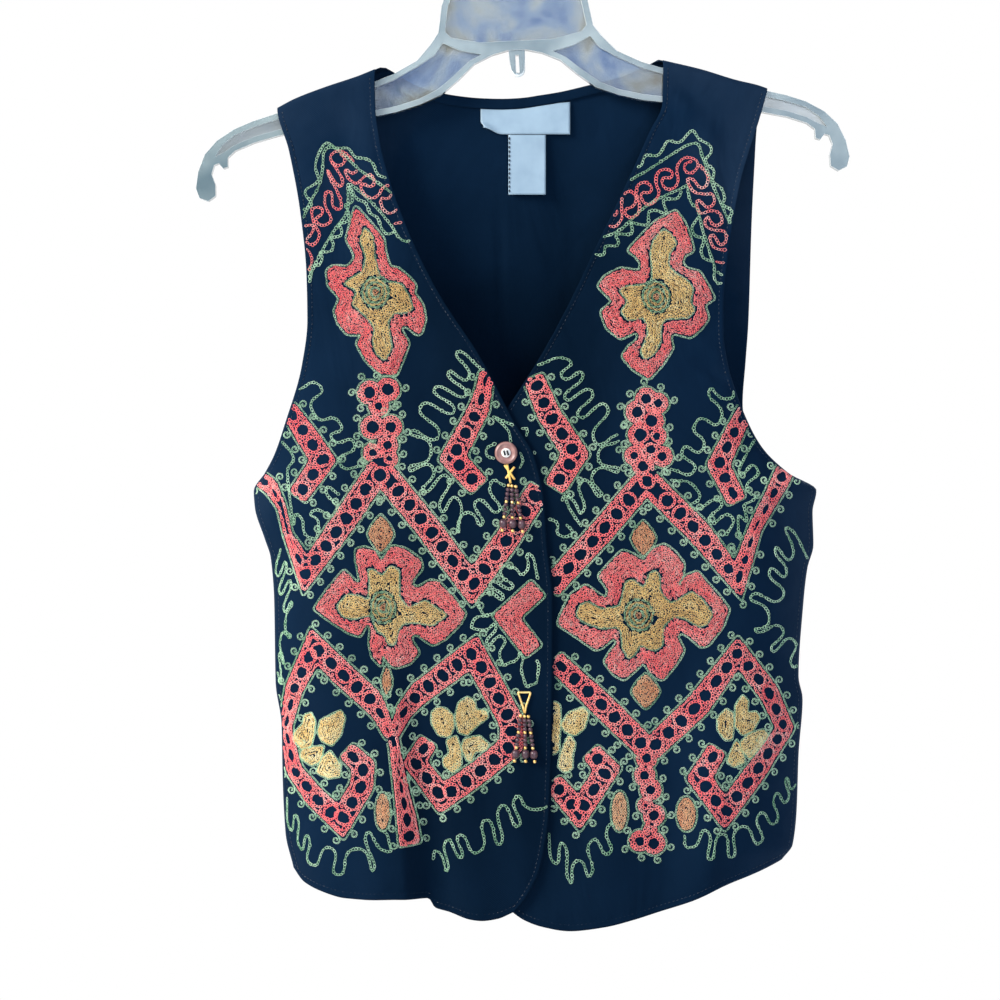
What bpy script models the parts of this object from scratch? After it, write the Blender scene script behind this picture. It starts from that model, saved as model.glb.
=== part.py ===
# Embroidered vest on a clothes hanger, modelled in Blender.
# Lengths are in millimetres while the shapes are worked out, and MM turns them into metres.
# X runs to the viewer's right, Y away from the viewer and Z up.
# The origin is where a rail bears on the inside of the hanger's hook, and a level is a depth below it.
# The vest's own right front is on the viewer's left and laps over its left front.

from collections import namedtuple
from math import cos, pi, radians, sin

import bmesh
import bpy
import numpy as np
from mathutils import Matrix

MM = 0.001

# Driving sizes in millimetres
CLOTH = 1.5
TRIM_CLOTH = 1.0
SEAM_GAP = 0.3
HALF_SEAM = SEAM_GAP / 2
LAP_GAP = 1.1
LAP_MARGIN = 4.0
LAP_FADE = 36.0
LAP_START = 295.0
SHOULDER_WRAP = 8.0
WRAP_SQUARENESS = 3.5
SIDE_ROUNDING = 62.0
EDGE_ROUNDING = 48.0
BUTTON_DIAMETER = 15.0
BUTTON_HOLE_RADIUS = 0.6
BUTTON_HOLE_OFFSET = 1.15
SEWN_GAP = 0.8
BUTTON_PLACE = (-1.3, 392.2)
HANGER_HALF_DEPTH = 5.0
HANGER_WEB_HALF = 1.2
HANGER_TILT = 2.8
HOOK_BAR_RADIUS = 4.0
HOOK_INNER_RADIUS = 19.0
BAND_WIDTH = 6.7
BAND_ENDS = (-60.0, 70.0)
EDGE_INSET = 0.4

# Grid of each cloth panel
FRONT_COLUMNS = 24
FRONT_ROWS = 26
BACK_COLUMNS = 30
BACK_ROWS = 20
WRAP_ANGLES = (0, 20, 40, 62, 90)
MEETING_ROUNDS = 40

Edge = namedtuple("Edge", "level x depth")
Line = namedtuple("Line", "x level")
Depth = namedtuple("Depth", "level depth")
Fold = namedtuple("Fold", "level crest foot height")
Wave = namedtuple("Wave", "x width height reach")
Arm = namedtuple("Arm", "out top bottom")
Strand = namedtuple("Strand", "x top lean length")
Trim = namedtuple("Trim", "left right top bottom")
Head = namedtuple("Head", "x top lean length")
Bead = namedtuple("Bead", "share radius")
Ring = namedtuple("Ring", "radius height")
Crowd = namedtuple("Crowd", "place width extra")
Panel = namedtuple("Panel", "left right left_rounding right_rounding top hem body ridge waves")

# Side seams from the underarm to the hem; both pieces that meet there share them at depth 0
RIGHT_SIDE_SEAM = (
    Edge(417.5, -170.8, 0.0),
    Edge(428.2, -170.1, 0.0),
    Edge(449.6, -163.4, 0.0),
    Edge(462.2, -159.4, 0.0),
    Edge(490.2, -157.1, 0.0),
    Edge(546.3, -156.1, 0.0),
    Edge(574.3, -152.1, 0.0),
    Edge(609.6, -151.4, 0.0),
    Edge(647.7, -149.4, 0.0),
    Edge(670.3, -144.1, 0.0),
    Edge(710.0, -136.0, 0.0),
)
LEFT_SIDE_SEAM = (
    Edge(417.0, 207.4, 0.0),
    Edge(431.5, 204.8, 0.0),
    Edge(453.6, 205.4, 0.0),
    Edge(468.9, 201.4, 0.0),
    Edge(490.2, 198.8, 0.0),
    Edge(542.3, 195.4, 0.0),
    Edge(557.0, 198.1, 0.0),
    Edge(594.3, 195.4, 0.0),
    Edge(631.6, 194.1, 0.0),
    Edge(655.0, 191.4, 0.0),
    Edge(665.0, 184.1, 0.0),
    Edge(712.0, 150.0, 0.0),
)
# Armholes from the shoulder to the underarm
RIGHT_FRONT_ARMHOLE = (
    Edge(120.0, -154.7, 8.0),
    Edge(160.1, -154.7, 8.0),
    Edge(189.4, -146.7, 9.5),
    Edge(232.8, -138.7, 12.0),
    Edge(273.5, -134.7, 14.0),
    Edge(303.5, -134.1, 14.5),
    Edge(334.8, -138.1, 13.5),
    Edge(372.9, -149.4, 11.0),
    Edge(392.2, -156.1, 8.5),
    Edge(405.0, -162.8, 5.0),
)
LEFT_FRONT_ARMHOLE = (
    Edge(110.0, 174.1, 8.0),
    Edge(146.1, 174.1, 8.0),
    Edge(158.1, 171.4, 8.4),
    Edge(169.4, 168.1, 9.0),
    Edge(208.8, 156.1, 11.0),
    Edge(236.8, 150.7, 12.5),
    Edge(264.8, 146.7, 13.5),
    Edge(292.8, 144.1, 14.5),
    Edge(312.2, 144.1, 14.5),
    Edge(330.8, 146.7, 13.5),
    Edge(345.5, 150.7, 12.5),
    Edge(371.5, 160.7, 11.0),
    Edge(388.9, 170.8, 8.5),
    Edge(405.5, 188.4, 5.0),
)
BACK_ARMHOLE_BESIDE_RIGHT = (
    Edge(120.0, -154.7, 8.0),
    Edge(160.1, -154.7, 8.0),
    Edge(189.4, -144.7, 10.0),
    Edge(232.8, -135.4, 12.5),
    Edge(273.5, -131.0, 14.0),
    Edge(303.5, -130.4, 14.5),
    Edge(334.8, -134.4, 13.5),
    Edge(372.9, -145.4, 11.0),
    Edge(392.2, -152.7, 8.5),
    Edge(405.0, -159.8, 5.0),
)
BACK_ARMHOLE_BESIDE_LEFT = (
    Edge(110.0, 174.1, 8.0),
    Edge(146.1, 174.1, 8.0),
    Edge(158.1, 171.5, 8.8),
    Edge(170.8, 168.1, 9.6),
    Edge(199.4, 166.4, 11.0),
    Edge(236.8, 164.7, 13.0),
    Edge(302.2, 162.7, 15.0),
    Edge(330.8, 160.7, 15.0),
    Edge(358.8, 158.7, 14.0),
    Edge(378.2, 162.0, 12.0),
    Edge(395.5, 173.0, 8.0),
    Edge(408.0, 188.8, 4.0),
)
# Neckline and front edge: the lapping edge, then the hidden edge under it
RIGHT_FRONT_EDGE = (
    Edge(120.0, -89.4, 8.0),
    Edge(133.4, -89.4, 8.0),
    Edge(158.1, -89.0, 8.6),
    Edge(185.4, -85.4, 10.0),
    Edge(206.8, -80.0, 11.5),
    Edge(236.8, -69.4, 14.0),
    Edge(266.8, -56.0, 17.0),
    Edge(290.1, -43.4, 19.5),
    Edge(326.8, -19.3, 23.0),
    Edge(373.5, 5.3, 27.0),
    Edge(394.2, 17.3, 28.5),
    Edge(424.2, 24.0, 29.5),
    Edge(453.6, 26.0, 30.0),
    Edge(490.2, 29.7, 30.5),
    Edge(574.3, 29.0, 31.5),
    Edge(630.3, 27.3, 32.0),
    Edge(651.7, 24.7, 32.0),
    Edge(669.7, 20.7, 32.0),
    Edge(687.0, 12.0, 32.0),
    Edge(697.0, 4.0, 32.0),
    Edge(712.0, -6.0, 32.0),
)
LEFT_FRONT_EDGE = (
    Edge(110.0, 104.1, 8.0),
    Edge(128.1, 104.1, 8.0),
    Edge(158.1, 103.4, 8.6),
    Edge(177.4, 94.7, 10.0),
    Edge(200.1, 84.7, 12.0),
    Edge(227.4, 72.0, 14.5),
    Edge(254.8, 58.7, 17.5),
    Edge(290.1, 42.0, 21.5),
    Edge(326.1, 22.7, 25.0),
    Edge(349.5, 8.0, 27.0),
    Edge(370.2, -5.3, 28.5),
    Edge(386.9, -13.3, 29.0),
    Edge(410.0, -16.0, 29.5),
    Edge(490.2, -16.0, 30.5),
    Edge(623.6, -14.7, 32.0),
    Edge(657.0, -12.0, 32.0),
    Edge(680.3, -7.3, 32.0),
    Edge(692.4, -2.0, 32.0),
    Edge(716.0, 8.0, 32.0),
)
# Shoulder seams, which front and back share, and the back neck between them
RIGHT_SHOULDER = (
    Line(-154.7, 160.1),
    Line(-143.4, 154.1),
    Line(-122.7, 146.1),
    Line(-100.7, 138.7),
    Line(-89.4, 134.1),
)
LEFT_SHOULDER = (
    Line(104.1, 128.1),
    Line(129.4, 134.1),
    Line(153.4, 141.4),
    Line(167.0, 144.6),
    Line(174.1, 147.0),
)
BACK_NECK = (
    Line(-83.0, 132.2),
    Line(-77.0, 136.0),
    Line(-64.0, 146.0),
    Line(-52.0, 150.8),
    Line(-34.0, 154.6),
    Line(-18.0, 156.8),
    Line(8.0, 156.8),
    Line(22.7, 154.1),
    Line(35.0, 152.1),
    Line(55.4, 147.4),
    Line(78.0, 140.7),
    Line(94.0, 131.0),
    Line(101.0, 127.6),
)
# The level that the shoulders would have if they ran on to the centre
RIDGE_BETWEEN = (
    Line(-83.0, 132.2),
    Line(-60.0, 120.0),
    Line(60.0, 115.0),
    Line(101.0, 127.6),
)
RIGHT_FRONT_HEM = (
    Line(-144.1, 670.3),
    Line(-136.7, 679.0),
    Line(-122.7, 685.0),
    Line(-108.7, 688.4),
    Line(-94.7, 689.0),
    Line(-73.4, 688.4),
    Line(-53.0, 688.7),
    Line(-48.5, 695.0),
    Line(-38.7, 697.7),
    Line(-24.7, 702.3),
    Line(-17.3, 703.0),
    Line(-7.3, 701.7),
    Line(4.0, 697.0),
)
LEFT_FRONT_HEM = (
    Line(-2.0, 692.4),
    Line(3.3, 697.7),
    Line(11.3, 703.0),
    Line(22.7, 707.0),
    Line(40.7, 709.7),
    Line(63.4, 707.0),
    Line(85.4, 701.7),
    Line(100.7, 697.0),
    Line(122.7, 689.7),
    Line(144.7, 680.0),
    Line(167.4, 672.0),
    Line(184.1, 665.0),
)
BACK_HEM = (
    Line(-144.1, 670.3),
    Line(-100.0, 677.0),
    Line(-40.0, 681.0),
    Line(20.0, 682.0),
    Line(90.0, 679.0),
    Line(150.0, 672.0),
    Line(184.1, 665.0),
)

# How far the middle of each panel stands from the hanger's plane
FRONT_BODY = (
    Depth(110.0, 8.0),
    Depth(160.0, 9.0),
    Depth(230.0, 15.5),
    Depth(300.0, 22.0),
    Depth(370.0, 27.0),
    Depth(420.0, 29.0),
    Depth(500.0, 30.5),
    Depth(600.0, 32.0),
    Depth(715.0, 33.0),
)
BACK_BODY = (
    Depth(110.0, 10.5),
    Depth(160.0, 11.0),
    Depth(200.0, 14.5),
    Depth(260.0, 20.0),
    Depth(340.0, 25.0),
    Depth(420.0, 26.0),
    Depth(560.0, 27.0),
    Depth(700.0, 30.0),
)

# The deep fold of the right front: a roll whose flank drops back towards the front edge
DEEP_FOLD = (
    Fold(480.0, -80.0, -60.0, 0.0),
    Fold(530.0, -79.0, -60.0, 3.0),
    Fold(570.0, -77.0, -62.0, 8.0),
    Fold(610.0, -76.0, -57.5, 12.5),
    Fold(650.0, -72.0, -53.5, 15.0),
    Fold(710.0, -68.0, -50.0, 16.0),
)
FOLD_RISE_SHARE = 0.36
FOLD_RISE_WIDTH = 46.0
FOLD_RETURN_WIDTH = 34.0

# Soft waves that fade upwards from the hem, spaced and sized unevenly
RIGHT_FRONT_WAVES = (
    Wave(-128.0, 13.0, 2.6, 190.0),
    Wave(-101.0, 9.0, -2.0, 150.0),
)
LEFT_FRONT_WAVES = (
    Wave(62.0, 15.0, 2.2, 130.0),
    Wave(98.0, 12.0, -2.4, 170.0),
    Wave(131.0, 14.0, 3.0, 230.0),
    Wave(164.0, 10.0, -2.2, 150.0),
)
BACK_WAVES = (
    Wave(-112.0, 14.0, 3.0, 210.0),
    Wave(-66.0, 17.0, -3.6, 260.0),
    Wave(-14.0, 15.0, 4.2, 330.0),
    Wave(33.0, 19.0, -3.4, 240.0),
    Wave(88.0, 16.0, 3.8, 290.0),
    Wave(140.0, 13.0, -2.8, 190.0),
)

# Where grid lines lie closer together, as a share of the way down or across
UNDERARM_CROWD = (Crowd(0.49, 0.05, 1.6), Crowd(1.0, 0.04, 0.8))
EDGE_CROWD = (Crowd(0.0, 0.07, 1.4), Crowd(1.0, 0.07, 1.4))
FOLD_CROWD = (Crowd(0.0, 0.06, 1.2), Crowd(0.46, 0.16, 1.5), Crowd(1.0, 0.06, 0.6))

# Each panel of the body: edges, how wide they round off, lines above and below, depth and waves
RIGHT_FRONT = Panel(
    RIGHT_FRONT_ARMHOLE + RIGHT_SIDE_SEAM, RIGHT_FRONT_EDGE, SIDE_ROUNDING, EDGE_ROUNDING,
    RIGHT_SHOULDER, RIGHT_FRONT_HEM, FRONT_BODY, RIGHT_SHOULDER, RIGHT_FRONT_WAVES)
LEFT_FRONT = Panel(
    LEFT_FRONT_EDGE, LEFT_FRONT_ARMHOLE + LEFT_SIDE_SEAM, EDGE_ROUNDING, SIDE_ROUNDING,
    LEFT_SHOULDER, LEFT_FRONT_HEM, FRONT_BODY, LEFT_SHOULDER, LEFT_FRONT_WAVES)
BACK = Panel(
    BACK_ARMHOLE_BESIDE_RIGHT + RIGHT_SIDE_SEAM, BACK_ARMHOLE_BESIDE_LEFT + LEFT_SIDE_SEAM,
    SIDE_ROUNDING, SIDE_ROUNDING, RIGHT_SHOULDER + BACK_NECK + LEFT_SHOULDER, BACK_HEM,
    BACK_BODY, RIGHT_SHOULDER + RIDGE_BETWEEN + LEFT_SHOULDER, BACK_WAVES)

# Neck label and care tag on the inside of the back, as x and level of their edges
LABEL = Trim(-18.2, 41.5, 163.8, 180.2)
LABEL_TOP_RISE = 2.0
CARE_TAG = Trim(0.7, 25.3, 180.6, 221.4)

# Hanger, level and centred: half outlines as out from the middle and level
HANGER_CROWN = (
    Line(6.0, 48.0),
    Line(18.0, 51.0),
    Line(32.0, 61.0),
    Line(43.0, 75.0),
    Line(49.0, 90.0),
    Line(52.0, 107.7),
    Line(57.3, 115.0),
)
HANGER_ARM = (
    Arm(67.0, 125.5, 155.2),
    Arm(83.5, 133.9, 159.5),
    Arm(96.0, 138.2, 161.4),
    Arm(108.0, 140.2, 163.2),
    Arm(122.7, 143.8, 165.2),
    Arm(135.0, 147.9, 167.0),
    Arm(146.0, 151.8, 168.8),
    Arm(163.0, 156.6, 171.4),
    Arm(179.0, 160.8, 175.2),
    Arm(192.0, 165.6, 180.0),
)
HANGER_TIP = (
    Line(204.0, 172.8),
    Line(212.5, 181.6),
    Line(217.5, 193.0),
    Line(219.5, 204.0),
    Line(217.5, 210.5),
    Line(211.8, 213.0),
    Line(206.6, 209.6),
    Line(206.4, 202.0),
    Line(208.6, 195.0),
    Line(206.6, 189.0),
    Line(203.4, 188.0),
    Line(200.6, 191.6),
    Line(197.4, 190.6),
    Line(197.2, 184.4),
)
HANGER_ARCH = (
    Line(52.0, 149.2),
    Line(40.0, 139.8),
    Line(29.0, 129.8),
    Line(17.0, 124.3),
    Line(6.0, 121.6),
)
HANGER_RIM = 3.9
# The web's panel in each arm, and the window above the cross rib
ARM_PANEL_START = (
    Line(24.0, 123.6),
    Line(38.0, 120.3),
    Line(49.5, 114.6),
    Line(55.6, 122.6),
)
ARM_PANEL_END = (
    Line(200.6, 176.0),
    Line(205.4, 183.4),
    Line(198.8, 180.2),
)
ARM_PANEL_RETURN = (
    Line(54.2, 145.6),
    Line(43.0, 136.8),
    Line(32.0, 127.6),
)
WINDOW = (
    Line(22.0, 57.0),
    Line(36.0, 70.0),
    Line(44.8, 90.0),
    Line(47.6, 107.0),
    Line(43.6, 111.6),
    Line(24.0, 115.6),
)
NUB = (
    Line(5.6, 119.0),
    Line(5.2, 128.0),
    Line(4.2, 135.0),
    Line(2.4, 137.6),
)
NUB_HALF_DEPTH = 4.0
NUB_SLOT = (
    Line(1.1, 125.0),
    Line(1.1, 140.0),
)
# The hook's stem, up to where its circle starts, and the turns of the circle
HOOK_STEM = (
    Line(0.0, 54.0),
    Line(0.2, 48.0),
    Line(1.8, 44.2),
)
HOOK_TURNS = (-76.0, 214.0)
HOOK_STEPS = 26
HOOK_SIDES = 12

# The button's turned profile, from the back's middle round the rim to the front's middle
BUTTON_PROFILE = (
    Ring(0.0, 0.0),
    Ring(6.3, 0.0),
    Ring(7.3, 0.8),
    Ring(7.5, 1.6),
    Ring(7.0, 2.7),
    Ring(6.1, 3.2),
    Ring(5.1, 2.6),
    Ring(3.6, 2.1),
    Ring(3.0, 2.5),
    Ring(0.0, 2.5),
)
BUTTON_STEPS = 28

# Tassels: strands hang from a head, x and level of the root, lean, and length
UPPER_TASSEL_HEAD = Head(1.2, 404.6, 1.6, 10.4)
UPPER_TASSEL = (
    Strand(0.6, 412.6, -4.6, 32.4),
    Strand(2.6, 413.0, 0.6, 33.6),
    Strand(5.0, 413.4, 5.2, 33.6),
)
LOWER_TASSEL_HEAD = Head(11.0, 561.4, 0.4, 6.0)
LOWER_TASSEL = (
    Strand(8.6, 565.6, -4.4, 32.6),
    Strand(11.0, 565.8, 0.8, 32.2),
    Strand(13.4, 566.0, 4.6, 33.0),
)
BAIL_TOP = 551.6
BAIL_BOTTOM = 560.2
BAIL_HALF_WIDTH = 4.0
BAIL_WIRE = 0.65
BAIL_SIDES = 6
BAIL_SHARES = (0.12, 0.5, 0.88)
BARREL_RADIUS = 2.75
# Outline of a strand: slim beads, a thinner place between them, the barrel bead and a last bead
STRAND_BEADS = (
    Bead(0.0, 1.5),
    Bead(0.1, 1.5),
    Bead(0.32, 1.5),
    Bead(0.38, 1.0),
    Bead(0.44, 1.5),
    Bead(0.68, 1.5),
    Bead(0.73, 0.8),
    Bead(0.78, BARREL_RADIUS),
    Bead(0.9, BARREL_RADIUS),
    Bead(0.94, 0.8),
    Bead(0.97, 1.3),
    Bead(1.0, 0.5),
)
HEAD_BEADS = (
    Bead(0.0, 1.2),
    Bead(0.33, 1.6),
    Bead(0.67, 2.2),
    Bead(1.0, 3.0),
)
STRAND_SIDES = 6
HEAD_SIDES = 8

MATERIALS = {
    "cloth": ((0.010, 0.022, 0.050), 0.78, 0.0),
    "label_satin": ((0.78, 0.82, 0.86), 0.45, 0.0),
    "button_plastic": ((0.42, 0.24, 0.22), 0.35, 0.0),
    "bead_glass": ((0.11, 0.045, 0.06), 0.3, 0.0),
    "gold_wire": ((0.78, 0.55, 0.22), 0.3, 1.0),
    "clear_plastic": ((0.62, 0.72, 0.78), 0.15, 0.0),
}


def column(rows, name):
    """One named column of a table as an array."""
    return np.array([getattr(row, name) for row in rows], dtype=float)


def smooth(at, places, values):
    """A curve through the values without overshoot: cubic pieces whose slopes are limited."""
    at = np.clip(at, places[0], places[-1])
    step = np.diff(places)
    slope = np.diff(values) / step
    tangent = np.zeros(len(places))
    tangent[0] = slope[0]
    tangent[-1] = slope[-1]
    same_way = slope[:-1] * slope[1:] > 0
    mean = 2 * slope[:-1] * slope[1:] / np.where(same_way, slope[:-1] + slope[1:], 1.0)
    tangent[1:-1] = np.where(same_way, mean, 0.0)
    piece = np.clip(np.searchsorted(places, at, side="right") - 1, 0, len(step) - 1)
    t = (at - places[piece]) / step[piece]
    start = (1 + 2 * t) * (1 - t) ** 2 * values[piece]
    finish = t * t * (3 - 2 * t) * values[piece + 1]
    lean_in = t * (1 - t) ** 2 * step[piece] * tangent[piece]
    lean_out = t * t * (t - 1) * step[piece] * tangent[piece + 1]
    return start + finish + lean_in + lean_out


def along(rows, level, name):
    """Reads one column of a table of edges, depths or folds at the given levels."""
    return smooth(level, column(rows, "level"), column(rows, name))


def line_level(rows, x):
    """Level of a shoulder, neck or hem line at the given x."""
    return smooth(x, column(rows, "x"), column(rows, "level"))


def ease(t):
    """Goes from 0 to 1 with flat ends."""
    t = np.clip(t, 0.0, 1.0)
    return t * t * (3 - 2 * t)


def wrap_share(drop):
    """Share of the full depth reached at a drop below the shoulder ridge, on a squarish round."""
    rest = np.clip(1 - drop / SHOULDER_WRAP, 0.0, 1.0)
    return np.clip(1 - rest ** WRAP_SQUARENESS, 0.0, 1.0) ** (1 / WRAP_SQUARENESS)


def wrap_drops():
    """Drops below the ridge of the rows that go round the hanger's arm."""
    angles = np.radians(np.array(WRAP_ANGLES, dtype=float))
    return SHOULDER_WRAP * (1 - np.clip(np.cos(angles), 0, 1) ** (2 / WRAP_SQUARENESS))


def rounding(distance, width):
    """Rises from 0 at an edge to 1 at the given distance, like the side of a flattened tube."""
    rest = 1 - np.clip(distance / width, 0.0, 1.0)
    return (1 - rest * rest) ** 0.75


def hem_waves(panel, x, level):
    """Sum of soft ridges and troughs, tallest at the hem and gone at the end of their reach."""
    above_hem = line_level(panel.hem, x) - level
    total = np.zeros_like(x)
    for wave in panel.waves:
        across = np.exp(-((x - wave.x) / wave.width) ** 2)
        total += wave.height * across * ease(1 - above_hem / wave.reach)
    return total


def deep_fold(x, level):
    """Roll and drop of the deep fold: forwards up to the crest, then back behind it at the foot."""
    crest = along(DEEP_FOLD, level, "crest")
    foot = along(DEEP_FOLD, level, "foot")
    height = along(DEEP_FOLD, level, "height")
    rise = ease(1 - (crest - x) / FOLD_RISE_WIDTH) * FOLD_RISE_SHARE
    flank = ease((x - crest) / (foot - crest))
    recess = (1 - FOLD_RISE_SHARE) * (1 - ease((x - foot) / FOLD_RETURN_WIDTH))
    return height * np.where(x < crest, rise, FOLD_RISE_SHARE * (1 - flank) - flank * recess)


def panel_depth(panel, x, level):
    """Depth of a panel: its body's, drawn in to each edge's own, round the arm on top, with waves."""
    middle = along(panel.body, level, "depth")
    from_left = rounding(x - along(panel.left, level, "x"), panel.left_rounding)
    from_right = rounding(along(panel.right, level, "x") - x, panel.right_rounding)
    depth = middle + (along(panel.left, level, "depth") - middle) * (1 - from_left)
    depth += (along(panel.right, level, "depth") - middle) * (1 - from_right)
    depth *= wrap_share(level - line_level(panel.ridge, x))
    return depth + from_left * from_right * hem_waves(panel, x, level)


def right_front_depth(x, level):
    """Depth of the front that laps over, with its deep fold."""
    return panel_depth(RIGHT_FRONT, x, level) + deep_fold(x, level)


def left_front_depth(x, level):
    """Depth of the front that lies under the lap, set back there by the cloth and a small gap."""
    depth = panel_depth(LEFT_FRONT, x, level)
    over_edge = along(RIGHT_FRONT.right, level, "x")
    under = right_front_depth(np.minimum(x, over_edge), level) - CLOTH - LAP_GAP
    beside_lap = ease((x - over_edge - LAP_MARGIN) / LAP_FADE)
    below_crossing = ease((level - LAP_START) / LAP_FADE)
    return depth + (1 - beside_lap) * below_crossing * (under - depth)


def back_depth(x, level):
    """Depth of the back behind the hanger's plane."""
    return panel_depth(BACK, x, level)


def panel_grid(panel, across, down):
    """x and level of a panel's grid, from its top line to its hem and from edge to edge.

    A column is a fixed share of the way across. Its ends are where that share meets the top line
    and the hem, found by going back and forth. The first rows go round the hanger's arm.
    """
    def meet(line):
        level = np.full_like(across, column(line, "level").mean())
        for _ in range(MEETING_ROUNDS):
            left_x = along(panel.left, level, "x")
            x = left_x + across * (along(panel.right, level, "x") - left_x)
            level = (level + line_level(line, x)) / 2
        return level

    top = meet(panel.top)
    bottom = meet(panel.hem)
    wrapped = top[None, :] + wrap_drops()[:, None]
    below = top + SHOULDER_WRAP
    lower = below[None, :] + down[1:, None] * (bottom - below)[None, :]
    level = np.vstack([wrapped, lower])
    left_x = along(panel.left, level, "x")
    x = left_x + across[None, :] * (along(panel.right, level, "x") - left_x)
    return x, level


def spread(count, crowds):
    """Shares from 0 to 1, closer together round each crowd's place."""
    even = np.linspace(0.0, 1.0, 400)
    density = np.ones_like(even)
    for crowd in crowds:
        density += crowd.extra * np.exp(-((even - crowd.place) / crowd.width) ** 2)
    total = np.concatenate([[0.0], np.cumsum((density[1:] + density[:-1]) / 2)])
    return np.interp(np.linspace(0.0, total[-1], count), total, even)


def normals(points):
    """Unit normals of a grid of points, from its rows and columns."""
    down = np.gradient(points, axis=0)
    sideways = np.gradient(points, axis=1)
    normal = np.cross(sideways, down)
    return normal / np.linalg.norm(normal, axis=2, keepdims=True)


def wall_mesh(name, outer, inner):
    """A closed wall between two grids of points: both faces and the strip round the edge."""
    rows, columns = outer.shape[:2]
    count = rows * columns
    points = np.concatenate([outer.reshape(-1, 3), inner.reshape(-1, 3)]) * MM
    index = np.arange(count).reshape(rows, columns)
    front = np.stack([index[:-1, :-1], index[1:, :-1], index[1:, 1:], index[:-1, 1:]], axis=-1)
    back = front[..., ::-1] + count
    loop = np.concatenate([index[0, :-1], index[:-1, -1], index[-1, :0:-1], index[:0:-1, 0]])
    following = np.roll(loop, -1)
    rim = np.stack([loop, following, following + count, loop + count], axis=-1)
    faces = np.concatenate([front.reshape(-1, 4), back.reshape(-1, 4), rim])
    mesh = bpy.data.meshes.new(name)
    mesh.from_pydata(points.tolist(), [], faces.tolist())
    mesh.update()
    work = bmesh.new()
    work.from_mesh(mesh)
    bmesh.ops.recalc_face_normals(work, faces=work.faces)
    work.to_mesh(mesh)
    work.free()
    mesh.shade_smooth()
    mesh.set_sharp_from_angle(angle=radians(50))
    return mesh


def material(slot):
    """The plain material of one slot."""
    found = bpy.data.materials.get(slot)
    if found:
        return found
    colour, roughness, metallic = MATERIALS[slot]
    made = bpy.data.materials.new(slot)
    made.use_nodes = True
    shader = made.node_tree.nodes["Principled BSDF"]
    shader.inputs["Base Color"].default_value = (*colour, 1.0)
    shader.inputs["Roughness"].default_value = roughness
    shader.inputs["Metallic"].default_value = metallic
    return made


def add_object(name, mesh, slot):
    """Puts a mesh into the scene as one named sub-part."""
    made = bpy.data.objects.new(name, mesh)
    bpy.context.scene.collection.objects.link(made)
    mesh.materials.append(material(slot))
    return made


def make_panel(name, panel, depth_at, side, across, down):
    """One panel: its outer face looks to -Y for side -1 and to +Y for side 1.

    The inner face lies a cloth's thickness inside it and never crosses the seam plane.
    """
    x, level = panel_grid(panel, across, down)
    depth = np.maximum(depth_at(x, level), HALF_SEAM)
    outer = np.stack([x, side * depth, -level], axis=-1)
    normal = normals(outer)
    normal *= np.sign(side * normal[..., 1].mean())
    inner = outer - CLOTH * normal
    inner[..., 1] = side * np.maximum(side * inner[..., 1], HALF_SEAM)
    add_object(name, wall_mesh(name, outer, inner), "cloth")


def make_body():
    """Both fronts and the back."""
    down = spread(FRONT_ROWS, UNDERARM_CROWD)
    make_panel("right_front", RIGHT_FRONT, right_front_depth, -1, spread(FRONT_COLUMNS, FOLD_CROWD), down)
    make_panel("left_front", LEFT_FRONT, left_front_depth, -1, spread(FRONT_COLUMNS, EDGE_CROWD), down)
    down = spread(BACK_ROWS, UNDERARM_CROWD)
    make_panel("back", BACK, back_depth, 1, spread(BACK_COLUMNS, EDGE_CROWD), down)


def on_back_inside(x, level, stand_off):
    """Points on the inside of the back, moved towards the viewer by a stand-off."""
    return np.stack([x, back_depth(x, level) - CLOTH - stand_off, -level], axis=-1)


def make_trim(name, x, level, slot):
    """A thin strip or patch that lies on the inside of the back."""
    near = on_back_inside(x, level, SEAM_GAP + TRIM_CLOTH)
    far = on_back_inside(x, level, SEAM_GAP)
    add_object(name, wall_mesh(name, near, far), slot)


def patch(left, right, columns, rows):
    """x of a grid between two edges, and the share of the way down of each of its points."""
    x = np.linspace(left, right, columns)[None, :].repeat(rows, axis=0)
    share = np.linspace(0.0, 1.0, rows)[:, None].repeat(columns, axis=1)
    return x, share


def make_neck_band():
    """The turned band along the back neck, from one hanger arm to the other."""
    x, share = patch(*BAND_ENDS, 24, 3)
    level = line_level(BACK.top, x) + EDGE_INSET + BAND_WIDTH * share
    make_trim("back_neck_band", x, level, "cloth")


def make_label():
    """The bare neck label just below the band, its top edge rising a little to the right."""
    x, share = patch(LABEL.left, LABEL.right, 9, 4)
    rise = LABEL_TOP_RISE * (x - LABEL.left) / (LABEL.right - LABEL.left)
    below_band = line_level(BACK.top, x) + BAND_WIDTH + 2 * EDGE_INSET
    top = np.maximum(LABEL.top - rise, below_band)
    make_trim("neck_label", x, top + (LABEL.bottom - top) * share, "label_satin")


def make_care_tag():
    """The bare care tag that hangs under the label."""
    x, share = patch(CARE_TAG.left, CARE_TAG.right, 4, 6)
    level = CARE_TAG.top + (CARE_TAG.bottom - CARE_TAG.top) * share
    make_trim("care_tag", x, level, "label_satin")


def prism(name, outline, half_depth, centre_y=0.0):
    """A flat plate: an outline of x and level, carried from front to back."""
    work = bmesh.new()
    near = [work.verts.new((x * MM, (centre_y - half_depth) * MM, -level * MM)) for x, level in outline]
    face = work.faces.new(near)
    pushed = bmesh.ops.extrude_face_region(work, geom=[face])
    moved = [item for item in pushed["geom"] if isinstance(item, bmesh.types.BMVert)]
    bmesh.ops.translate(work, verts=moved, vec=(0, 2 * half_depth * MM, 0))
    bmesh.ops.recalc_face_normals(work, faces=work.faces)
    mesh = bpy.data.meshes.new(name)
    work.to_mesh(mesh)
    work.free()
    return mesh


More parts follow.
